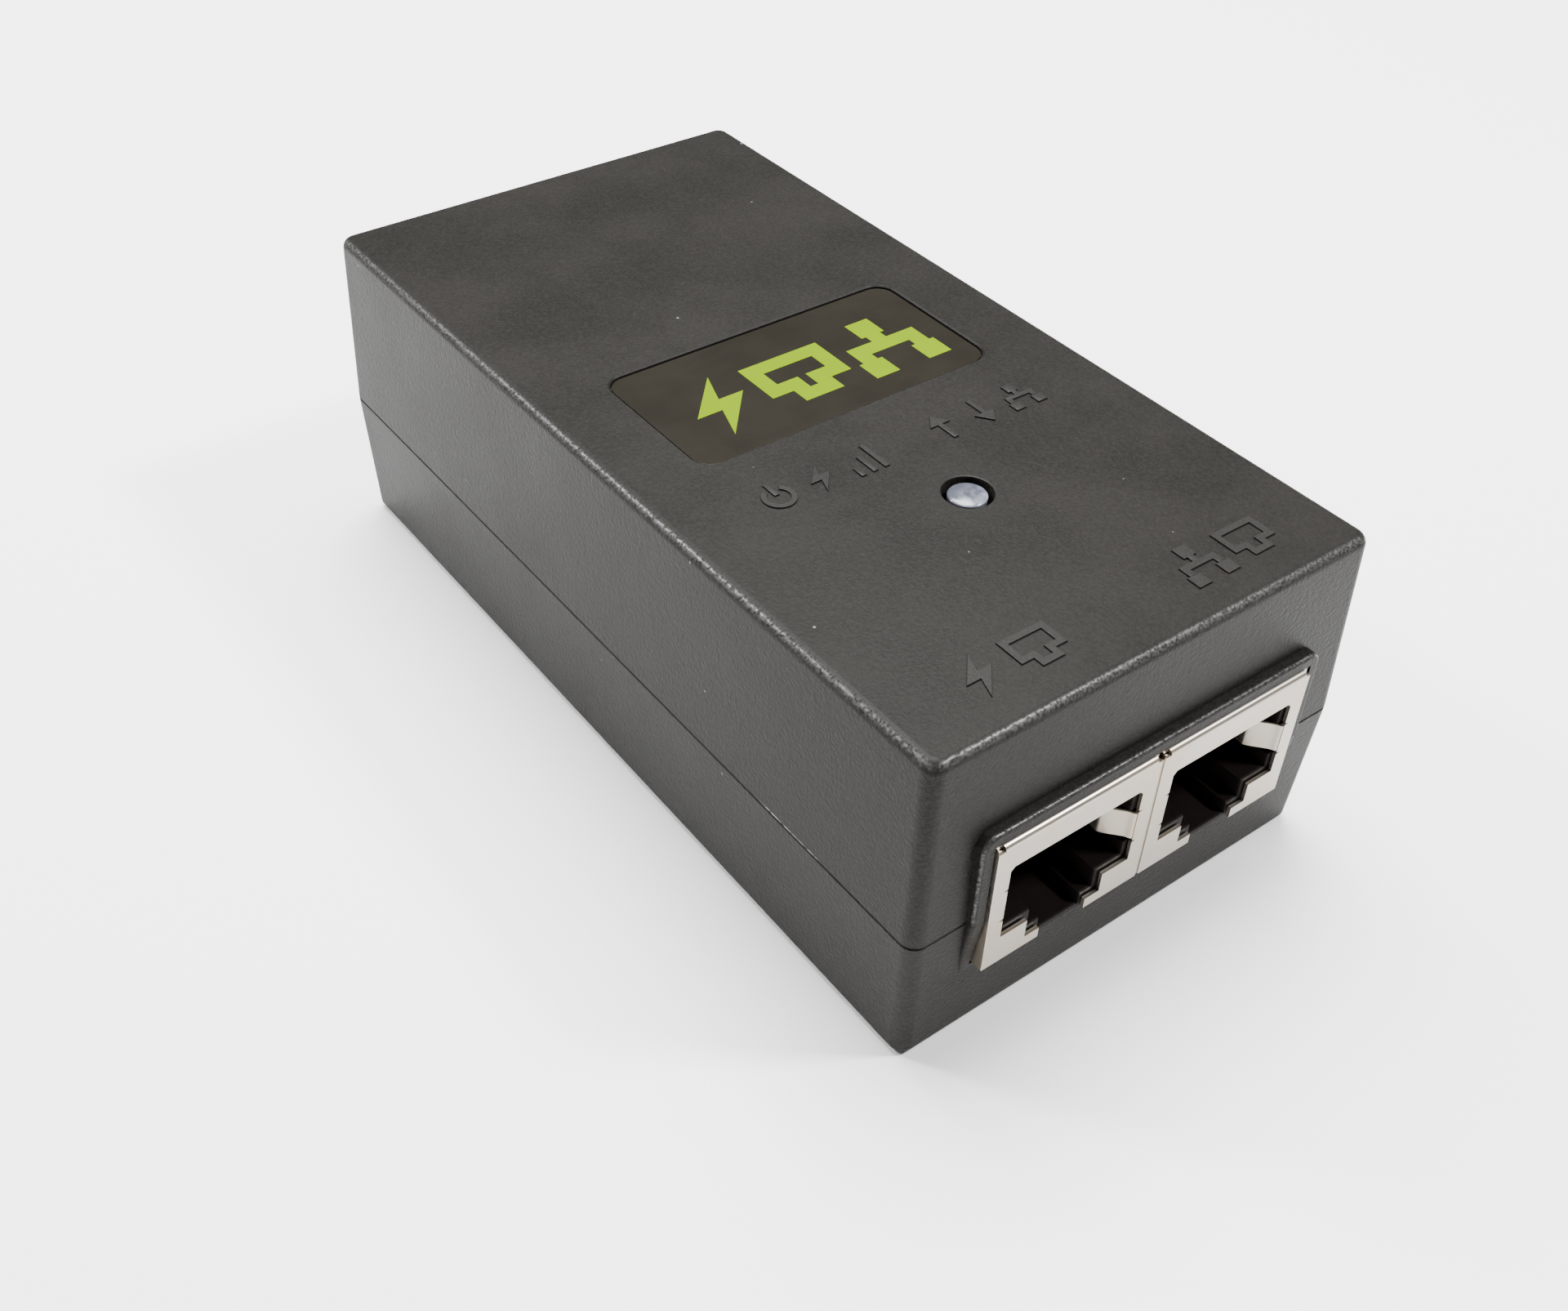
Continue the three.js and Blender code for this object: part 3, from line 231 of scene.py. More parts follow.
    def faced(self) -> "Form":
        """Turn every face outwards."""
        bmesh.ops.recalc_face_normals(self.mesh, faces=self.mesh.faces)
        return self

    def edges(self, along: Axis | None = None, where: Callable[[Vector], bool] | None = None
              ) -> list[bmesh.types.BMEdge]:
        """Edges picked by their direction and place.

        Args:
            along: The axis that they run along, or None for any direction.
            where: A test that both ends have to pass, or None.

        Returns:
            The edges.
        """
        found = []
        for edge in self.mesh.edges:
            run = edge.verts[1].co - edge.verts[0].co
            if along is not None and abs(run[along.value]) < 0.9 * run.length:
                continue
            if where is not None and not all(where(v.co) for v in edge.verts):
                continue
            found.append(edge)
        return found

    def rounded(self, edges: list[bmesh.types.BMEdge], width: float, segments: int = 3) -> "Form":
        """Round some of the edges.

        Args:
            edges: The edges.
            width: How far back from the edge the rounding starts.
            segments: How many facets it has.

        Returns:
            The same form.
        """
        bmesh.ops.bevel(self.mesh, geom=edges, offset=width, offset_type="OFFSET", segments=segments,
                        profile=0.5, affect="EDGES", material=-1, clamp_overlap=True)
        return self

    def softened(self, width: float, segments: int = 2, sharper_than: float = 40) -> "Form":
        """Round every edge that is sharper than an angle in degrees.

        Args:
            width: The width of the rounding.
            segments: How many facets it has.
            sharper_than: The angle.

        Returns:
            The same form.
        """
        limit = math.radians(sharper_than)
        sharp = [e for e in self.mesh.edges if len(e.link_faces) == 2 and e.calc_face_angle(0) > limit]
        return self.rounded(sharp, width, segments)

    def reshaped(self, move: Callable[[Vector], Vector]) -> "Form":
        """Send every corner to a new place."""
        for vert in self.mesh.verts:
            vert.co = move(vert.co)
        return self

    def moved(self, x: float = 0, y: float = 0, z: float = 0) -> "Form":
        """Shift the whole form."""
        bmesh.ops.translate(self.mesh, verts=self.mesh.verts, vec=(x, y, z))
        return self

    def beside(self, *others: "Form") -> "Form":
        """Add other forms as separate shells of the same solid."""
        for other in others:
            spare = bpy.data.meshes.new("spare")
            other.mesh.to_mesh(spare)
            self.mesh.from_mesh(spare)
            bpy.data.meshes.remove(spare)
        return self

    def combined(self, how: Cut, *others: "Form") -> "Form":
        """Join, cut or trim this form with others.

        Args:
            how: What the others do to it.
            others: The other forms, used one after another.

        Returns:
            The same form with its new shape.
        """
        for other in others:
            base, tool = self.object("base"), other.object("tool")
            for item in (base, tool):
                item.data.transform(Matrix.Scale(1 / MM, 4))
            step = base.modifiers.new("step", "BOOLEAN")
            step.object, step.operation, step.solver = tool, how.value, "EXACT"
            bpy.context.view_layer.update()
            result = base.evaluated_get(bpy.context.evaluated_depsgraph_get()).to_mesh()
            self.mesh.clear()
            self.mesh.from_mesh(result)
            for item in (base, tool):
                data = item.data
                bpy.data.objects.remove(item)
                bpy.data.meshes.remove(data)
            bmesh.ops.remove_doubles(self.mesh, verts=self.mesh.verts, dist=2e-4)
            bmesh.ops.dissolve_degenerate(self.mesh, edges=self.mesh.edges, dist=1e-4)
        return self

    def joined(self, *others: "Form") -> "Form":
        """Join other forms on."""
        return self.combined(Cut.JOIN, *others)

    def less(self, *others: "Form") -> "Form":
        """Cut other forms away."""
        return self.combined(Cut.REMOVE, *others)

    def object(self, name: str, smooth_below: float = 32) -> bpy.types.Object:
        """Make an object of the form, in metres.

        Args:
            name: The object's name.
            smooth_below: Edges that turn by less than this, in degrees, are shaded smooth.

        Returns:
            The object, at the origin, with its place in its mesh.
        """
        data = bpy.data.meshes.new(name)
        self.mesh.to_mesh(data)
        data.transform(Matrix.Scale(MM, 4))
        data.shade_smooth()
        data.set_sharp_from_angle(angle=math.radians(smooth_below))
        item = bpy.data.objects.new(name, data)
        bpy.context.scene.collection.objects.link(item)
        return item


def rounded_rectangle(low: Point, high: Point, radius: float, steps: int = 6) -> list[Point]:
    """The outline of a rectangle with round corners.

    Args:
        low: The lowest corner.
        high: The highest corner.
        radius: The corners' radius.
        steps: Steps to a corner.

    Returns:
        The corners of the outline, anticlockwise.
    """
    turns = [(high[0] - radius, low[1] + radius, -90), (high[0] - radius, high[1] - radius, 0),
             (low[0] + radius, high[1] - radius, 90), (low[0] + radius, low[1] + radius, 180)]
    points = []
    for x, y, start in turns:
        for step in range(steps + 1):
            angle = math.radians(start + 90 * step / steps)
            points.append((x + radius * math.cos(angle), y + radius * math.sin(angle)))
    return points


def stroke(a: Point, b: Point, width: float) -> tuple[Point, ...]:
    """The outline of a straight stroke between two points.

    Args:
        a: Where it starts.
        b: Where it ends.
        width: Its width.

    Returns:
        The corners of the outline.
    """
    along = (Vector(b) - Vector(a)).normalized() * (width / 2)
    side = Vector((-along.y, along.x))
    ends = (Vector(a) + side, Vector(a) - side, Vector(b) - side, Vector(b) + side)
    return tuple((p.x, p.y) for p in ends)


def smooth_path(points: Sequence[Place], steps: int = 4) -> list[Place]:
    """A smooth curve through points.

    Args:
        points: What it passes through.
        steps: Steps from one point to the next.

    Returns:
        Points along the curve.
    """
    knots = [Vector(p) for p in points]
    knots = [knots[0] * 2 - knots[1], *knots, knots[-1] * 2 - knots[-2]]
    curve = []
    for p0, p1, p2, p3 in zip(knots, knots[1:], knots[2:], knots[3:]):
        for step in range(steps):
            t = step / steps
            curve.append(0.5 * (2 * p1 + (p2 - p0) * t + (2 * p0 - 5 * p1 + 4 * p2 - p3) * t ** 2
                                + (3 * p1 - p0 - 3 * p2 + p3) * t ** 3))
    curve.append(knots[-2])
    return [tuple(p) for p in curve]


# ---------------------------------------------------------------- shader maths
class Num:
    """A value that varies over a surface, used in ordinary arithmetic."""

    def __init__(self, paint: "Paint", socket: bpy.types.NodeSocket) -> None:
        """Wrap a socket of a node."""
        self.paint = paint
        self.socket = socket

    def _with(self, operation: str, *values: "Num | float") -> "Num":
        """A Math node on some values."""
        made = self.paint.node("ShaderNodeMath", {"operation": operation}, dict(enumerate(values)))
        return Num(self.paint, made.outputs[0])

    def __add__(self, other: "Num | float") -> "Num":
        """Sum."""
        return self._with("ADD", self, other)

    __radd__ = __add__

    def __mul__(self, other: "Num | float") -> "Num":
        """Product."""
        return self._with("MULTIPLY", self, other)

    __rmul__ = __mul__

    def __sub__(self, other: "Num | float") -> "Num":
        """Difference."""
        return self._with("SUBTRACT", self, other)

    def __rsub__(self, other: float) -> "Num":
        """Difference from a number."""
        return self._with("SUBTRACT", other, self)

    def __pow__(self, power: float) -> "Num":
        """Power."""
        return self._with("POWER", self, power)

    def __abs__(self) -> "Num":
        """Size without its sign."""
        return self._with("ABSOLUTE", self)

    def most(self, other: "Num | float") -> "Num":
        """The greater of two."""
        return self._with("MAXIMUM", self, other)

    def ramp(self, low: float, high: float) -> "Num":
        """A smooth step from 0 at `low` to 1 at `high`.

        Args:
            low: Where the step starts.
            high: Where it ends.

        Returns:
            The step.
        """
        settings = {"interpolation_type": "SMOOTHSTEP"}
        inputs = {"Value": self, "From Min": low, "From Max": high}
        return Num(self.paint, self.paint.node("ShaderNodeMapRange", settings, inputs).outputs[0])


class Paint:
    """A material under construction: one Principled shader and the nodes that feed it."""

    def __init__(self, name: str) -> None:
        """Make an empty material.

        Args:
            name: Its name.
        """
        self.material = bpy.data.materials.new(name)
        self.material.use_nodes = True
        self.tree = self.material.node_tree
        self.tree.nodes.clear()
        self.shader = self.node("ShaderNodeBsdfPrincipled")
        output = self.node("ShaderNodeOutputMaterial")
        self.tree.links.new(self.shader.outputs[0], output.inputs["Surface"])
        self.where = self.node("ShaderNodeTexCoord").outputs["Object"]

    def node(self, kind: str, settings: dict[str, object] | None = None,
             inputs: dict[str | int, object] | None = None) -> bpy.types.Node:
        """Add a node.

        Args:
            kind: The node's type.
            settings: Its properties, set before its sockets.
            inputs: Values or links for its sockets, by name or index.

        Returns:
            The node.
        """
        made = self.tree.nodes.new(kind)
        for key, value in (settings or {}).items():
            setattr(made, key, value)
        for key, value in (inputs or {}).items():
            self.feed(made.inputs[key], value)
        return made

    def feed(self, socket: bpy.types.NodeSocket, value: object) -> None:
        """Set a socket to a number or colour, or link it to another socket."""
        if isinstance(value, Num):
            value = value.socket
        if isinstance(value, bpy.types.NodeSocket):
            self.tree.links.new(value, socket)
        else:
            socket.default_value = value

    def noise(self, size: float, detail: float = 2, stretch: Place = (1, 1, 1), rough: float = 0.5) -> Num:
        """Soft noise from 0 to 1.

        Args:
            size: Millimetres from one lump to the next.
            detail: How many finer layers it has.
            stretch: How much longer the lumps are along each axis.
            rough: How strong the finer layers are.

        Returns:
            The noise.
        """
        scale = tuple(1 / s for s in stretch)
        place = self.node("ShaderNodeMapping", None, {"Vector": self.where, "Scale": scale})
        inputs = {"Vector": place.outputs[0], "Scale": 1 / (size * MM), "Detail": detail, "Roughness": rough}
        return Num(self, self.node("ShaderNodeTexNoise", None, inputs).outputs[0])

    def cells(self, size: float) -> Num:
        """Distance to the middle of the nearest of many small cells."""
        inputs = {"Vector": self.where, "Scale": 1 / (size * MM)}
        return Num(self, self.node("ShaderNodeTexVoronoi", None, inputs).outputs["Distance"])

    def along(self, axis: Axis) -> Num:
        """Place along an axis, in millimetres."""
        split = self.node("ShaderNodeSeparateXYZ", None, {0: self.where})
        return Num(self, split.outputs[axis.value]) * (1 / MM)

    def blend(self, amount: Num, low: object, high: object) -> bpy.types.NodeSocket:
        """Mix two colours.

        Args:
            amount: The share of the second colour.
            low: The first colour.
            high: The second colour.

        Returns:
            The mixed colour.
        """
        settings = {"data_type": "RGBA", "clamp_factor": True}
        made = self.node("ShaderNodeMix", settings, {0: amount, 6: low, 7: high})
        return made.outputs[2]

    def relief(self, height: Num, depth: float, below: bpy.types.NodeSocket | None = None
               ) -> bpy.types.NodeSocket:
        """A bump, on top of another bump or none.

        Args:
            height: The height, from 0 to 1.
            depth: What a height of 1 stands for, in millimetres.
            below: The bump under this one.

        Returns:
            The normal.
        """
        inputs: dict[str | int, object] = {"Height": height, "Distance": depth * MM, "Strength": 1.0}
        if below is not None:
            inputs["Normal"] = below
        return self.node("ShaderNodeBump", None, inputs).outputs[0]

    def set(self, **sockets: object) -> None:
        """Feed sockets of the shader, named with _ for a space."""
        for key, value in sockets.items():
            self.feed(self.shader.inputs[key.replace("_", " ")], value)


Colour = tuple[float, float, float, float]


def tone(red: float, green: float, blue: float) -> Colour:
    """A colour from its 0 to 255 screen values, made linear."""
    def linear(value: float) -> float:
        """One channel, made linear."""
        share = value / 255
        return share / 12.92 if share <= 0.04045 else ((share + 0.055) / 1.055) ** 2.4
    return linear(red), linear(green), linear(blue), 1.0


# ---------------------------------------------------------------- finishes
@dataclass(frozen=True)
class Finish:
    """A plain finish with a little mottling and a fine surface."""

    slot: str
    colour: Colour
    roughness: float = 0.5
    metallic: float = 0.0
    mottle: float = 0.15
    mottle_size: float = 3.0
    grain: float = 0.35
    grain_depth: float = 0.004
    gloss: float = 0.5

    def dress(self, paint: Paint) -> None:
        """Give the material its colour, roughness and surface.

        Args:
            paint: The material.
        """
        cloud = paint.noise(self.mottle_size, 4)
        dark, light = self.shade(1 - self.mottle), self.shade(1 + self.mottle)
        fine = paint.noise(self.grain, 2)
        paint.set(Base_Color=paint.blend(cloud.ramp(0.3, 0.7), dark, light), Metallic=self.metallic,
                  Roughness=fine * 0.12 + (self.roughness - 0.06), Specular_IOR_Level=self.gloss,
                  Normal=paint.relief(fine, self.grain_depth))

    def shade(self, share: float) -> Colour:
        """The finish's own colour made darker or lighter."""
        return tuple(min(1.0, c * share) for c in self.colour[:3]) + (1.0,)

    def material(self) -> bpy.types.Material:
        """The material, made once.

        Returns:
            The material.
        """
        name = f"{self.slot}_{type(self).__name__}"
        if name in bpy.data.materials:
            return bpy.data.materials[name]
        paint = Paint(name)
        self.dress(paint)
        return paint.material


@dataclass(frozen=True)
class SparkGrain(Finish):
    """Black moulded plastic with a fine spark-eroded grain with painted glints on its peaks, a few light
    specks, and, where turned on, a pale scuff and painted highlights on the rim, the bead and the raised
    marks.
    """

    lump: float = 0.26
    gloss: float = 0.07
    speck_colour: Colour = (0.30, 0.29, 0.27, 1.0)
    scuff_colour: Colour = (0.45, 0.45, 0.44, 1.0)
    # colour of the painted highlights on the rim, the bead and the raised marks
    highlight_colour: Colour = (0.085, 0.084, 0.082, 1.0)
    # turns on the pale scuff and the painted highlights
    scuff_and_highlights: bool = False
    scuff_z: float = 13.55
    scuff_y: Point = (-33.0, -24.5)
    rim_x: Point = (21.2, 21.6)
    rim_y: Point = (42.2, 42.6)
    rim_z: Point = (30.2, 30.5)
    rim_end: Point = (30.72, 30.79)
    wall_end: Point = (30.3, 30.7)
    marks_z: Point = (30.84, 30.9)
    bead_x: Point = (16.6, 16.9)
    bead_z: Point = (21.5, 21.8)
    bead_foot: Point = (13.5, 14.0)
    bead_y: float = 44.02
    bead_width: Point = (0.08, 0.17)

    def rubbed_line(self, paint: Paint) -> Num:
        """A short pale scuff along the seam on the left side, near the jacks.

        Args:
            paint: The material.

        Returns:
            Where the scuff is, from 0 to 1.
        """
        x, y, z = (paint.along(axis) for axis in Axis)
        wander = (paint.noise(3, 1) - 0.5) * 0.25
        across = 1 - abs(z - self.scuff_z + wander).ramp(0.03, 0.13)
        near, far = self.scuff_y
        along = (y - near).ramp(0, 0.8) * (1 - (y - far).ramp(-3.5, 0))
        return across * along * (1 - (x + 21.5).ramp(0, 0.5)) * paint.noise(0.5, 2).ramp(0.35, 0.6)

    def painted_rim_highlight(self, paint: Paint) -> Num:
        """A painted highlight along the rim round the top face and along the bead round the jacks.

        Args:
            paint: The material.

        Returns:
            How strong the painted highlight is at each place, from 0 to 1.
        """
        x, y, z = (paint.along(axis) for axis in Axis)
        outside = abs(x).ramp(*self.rim_x).most(abs(y).ramp(*self.rim_y))
        rim = outside * z.ramp(*self.rim_z) * (1 - z.ramp(*self.rim_end))
        around = abs(x).ramp(*self.bead_x).most(z.ramp(*self.bead_z)) * z.ramp(*self.bead_foot)
        bead = around * (1 - abs(y + self.bead_y).ramp(*self.bead_width))
        return rim.most(bead) * paint.noise(0.24, 3).ramp(0.32, 0.68)

    def dress(self, paint: Paint) -> None:
        """Give the material its grain, its painted glints and highlights, its specks and its scuff.

        Args:
            paint: The material.
        """
        lumps = paint.noise(self.lump, 3, rough=0.7)
        pits = paint.cells(self.lump * 1.5)
        wide = paint.noise(9, 3)
        high = paint.along(Axis.Z)
        # 1 on the side walls, 0 on the top: sets the bump's depth and the strength of the painted glints
        walls = 1 - high.ramp(*self.wall_end)
        speck = 1 - paint.cells(2.6).ramp(0.03, 0.055)
        rare = paint.noise(5.5, 1).ramp(0.56, 0.62)
        body = paint.blend(wide.ramp(0.3, 0.7), self.shade(0.86), self.shade(1.16))
        # painted glints: the grain's peaks are made lighter, as if catching light, more on the side walls
        # than on the top
        peak_glints = lumps.ramp(0.34, 0.74)
        grain_and_glints = paint.blend(peak_glints * (walls * 0.55 + 0.35), body, self.shade(2.3))
        dust_and_highlights = paint.blend(speck * rare * 0.5, grain_and_glints, self.speck_colour)
        if self.scuff_and_highlights:
            # painted highlight: the tops of the raised marks are made slightly lighter
            raised = high.ramp(*self.marks_z) * 0.07
            # painted highlight on the rim and the bead; the coat there adds real gloss as well
            edge_highlight = self.painted_rim_highlight(paint)
            paint.set(Coat_Weight=edge_highlight * 0.55)
            dust_and_highlights = paint.blend(self.rubbed_line(paint) * 0.8, dust_and_highlights, self.scuff_colour)
            # lay on the painted highlights of the rim, the bead and the raised marks
            dust_and_highlights = paint.blend(edge_highlight * 0.42 + raised, dust_and_highlights, self.highlight_colour)
        height = lumps * 0.6 + paint.noise(self.lump * 2, 2) * 0.25 + pits * 0.15
        rough = lumps * 0.14 + wide * 0.12 + (self.roughness - 0.13)
        paint.set(Base_Color=dust_and_highlights, Metallic=0.0, Roughness=rough, Specular_IOR_Level=self.gloss,
                  Coat_Roughness=0.3, Normal=paint.relief(height * (walls * 0.6 + 0.4), self.grain_depth))


@dataclass(frozen=True)
class FilmLabel(Finish):
    """A smooth dark printed film with faint marks."""

    def dress(self, paint: Paint) -> None:
        """Give the film its sheen.

        Args:
            paint: The material.
        """
        cloud = paint.noise(5, 3)
        streak = paint.noise(1.2, 3, (6, 1, 1))
        paint.set(Base_Color=paint.blend(cloud.ramp(0.3, 0.7), self.shade(0.9), self.shade(1.12)),
                  Roughness=streak * 0.10 + (self.roughness - 0.05), Specular_IOR_Level=self.gloss,
                  Normal=paint.relief(paint.noise(0.5, 2), self.grain_depth))


@dataclass(frozen=True)
class RolledSheet(Finish):
    """Bright plated sheet metal with faint rolling lines."""

    def dress(self, paint: Paint) -> None:
        """Give the sheet its rolling lines and its warm cloudiness.

        Args:
            paint: The material.
        """
        lines = paint.noise(0.12, 3, (40, 1, 1))
        cloud = paint.noise(3.5, 3)
        warm = tuple(c * s for c, s in zip(self.colour[:3], (1.0, 0.93, 0.82))) + (1.0,)
        paint.set(Base_Color=paint.blend(cloud.ramp(0.35, 0.75), self.colour, warm),
                  Metallic=self.metallic,
                  Roughness=cloud * 0.10 + lines * 0.08 + (self.roughness - 0.09),
                  Normal=paint.relief(lines, self.grain_depth))


@dataclass(frozen=True)
class Epoxy(Finish):
    """Milky clear epoxy, glossy, with a painted highlight that makes it lighter low in the lens."""

    middle_y: float = LAMP_Y
    # lighter colour of the milky mottle, shown as a painted highlight towards -Y
    milky_highlight: Colour = tone(112, 114, 126)
    scatter: Place = (0.001, 0.001, 0.001)

    def dress(self, paint: Paint) -> None:
        """Give the lens its milky mottle, shown as a painted highlight low in the lens, towards -Y.

        Args:
            paint: The material.
        """
        # painted highlight: towards -Y the lens takes the lighter mottled colour, fading to its plain colour
        # towards +Y
        lower = (paint.along(Axis.Y) - (self.middle_y - 1.5)).ramp(0, 3)
        cloud = paint.noise(0.8, 2).ramp(0.3, 0.7)
        bright = paint.blend(cloud, self.colour, self.milky_highlight)
        paint.set(Base_Color=paint.blend(lower, bright, self.colour),
                  Roughness=cloud * 0.05 + self.roughness,
                  Normal=paint.relief(paint.noise(0.6, 1), self.grain_depth))
        paint.set(Coat_Roughness=0.05, IOR=1.5, Subsurface_Weight=0.15, Subsurface_Radius=self.scatter)


@dataclass(frozen=True)
class WoundWire(Finish):
    """Enamelled wire wound side by side."""

    def dress(self, paint: Paint) -> None:
        """Give the winding its turns."""
        turns = paint.noise(0.5, 1, (1, 1, 12))
        paint.set(Base_Color=paint.blend(turns.ramp(0.3, 0.6), self.shade(0.5), self.colour),
                  Metallic=self.metallic, Roughness=turns * 0.1 + (self.roughness - 0.05),
                  Normal=paint.relief(turns, 0.08))


@dataclass(frozen=True)
class Laminate(Finish):
    """Green circuit laminate with paler traces under its mask."""

    def dress(self, paint: Paint) -> None:
        """Give the board its mask and traces.

        Args:
            paint: The material.
        """
        weave = paint.noise(0.5, 2)
        across = paint.noise(4, 0, (3, 1, 1)).ramp(0.5, 0.52)
        traces = across * (1 - paint.noise(4, 0, (1, 3, 1)).ramp(0.5, 0.52))
        paint.set(Base_Color=paint.blend(traces, self.colour, self.shade(1.7)),
                  Roughness=weave * 0.1 + self.roughness,
                  Normal=paint.relief(traces * 0.6 + weave * 0.4, 0.03))


class Finishes:
    """Every finish of the injector."""

    # the case gets the scuff and the painted highlights
    case = SparkGrain("case_plastic", tone(24, 23, 21), 0.42, grain_depth=0.08, scuff_and_highlights=True)
    label = FilmLabel("label_film", tone(26, 24, 19), 0.34, grain_depth=0.002, gloss=0.06)
    print = Finish("label_film", (0.105, 0.17, 0.0, 1.0), 0.8, mottle=0.03, grain_depth=0.001, gloss=0.0)
    paper = Finish("base_paper", tone(206, 205, 198), 0.6, mottle=0.03)
    nickel = RolledSheet("nickel_sheet", tone(164, 157, 148), 0.30, 0.9, grain_depth=0.0012)
    mould = Finish("black_moulding", tone(17, 13, 12), 0.45, grain=0.25, grain_depth=0.003, gloss=0.05)
    inlet = SparkGrain("black_moulding", tone(25, 24, 23), 0.42, grain_depth=0.025)
    gold = Finish("gold_contact", tone(214, 172, 92), 0.22, 1.0, mottle=0.05, grain_depth=0.0006)
    lens = Epoxy("clear_epoxy", tone(60, 62, 71), 0.16, grain_depth=0.002)
    tin = Finish("tinned_metal", tone(206, 203, 196), 0.28, 1.0, mottle=0.06, grain_depth=0.001)
    board = Laminate("board_laminate", tone(38, 96, 58), 0.35)
    film = Finish("insulating_film", tone(214, 206, 180), 0.5, mottle=0.05)
    package = Finish("black_package", tone(30, 30, 31), 0.55, grain=0.2)
    green = Finish("green_coating", tone(60, 120, 80), 0.35, grain=0.6, grain_depth=0.02)
    blue = Finish("blue_coating", tone(52, 110, 172), 0.35, grain=0.6, grain_depth=0.02)
    tape = Finish("yellow_case", tone(220, 188, 64), 0.45, mottle=0.06)
    copper = WoundWire("enamelled_copper", tone(186, 104, 52), 0.3, 0.9)
    sleeve = Finish("capacitor_sleeve", tone(34, 42, 60), 0.3, mottle=0.05)
    ferrite = Finish("ferrite", tone(54, 52, 54), 0.65, grain=0.4, grain_depth=0.01)
    aluminium = RolledSheet("bare_aluminium", tone(196, 198, 200), 0.42, 1.0)


def finished(form: Form, name: str, finish: Finish, *nodes: str, body: str = HOUSING) -> bpy.types.Object:
    """Make a piece of a form, dress it and hang it on its body.

    Args:
        form: The shape.
        name: The piece's name.
        finish: Its finish.
        nodes: The CAD nodes that it stands for.
        body: The body that it rides on.

    Returns:
        The piece.
    """
    item = form.object(name)
    item.data.materials.clear()
    item.data.materials.append(finish.material())
    level = item.modifiers.new("even_shading", "WEIGHTED_NORMAL")
    level.keep_sharp = True
    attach(item, body)
    if nodes:
        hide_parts(*nodes)
    log.info("%s: %d faces on %s", name, len(item.data.polygons), body)
    return item


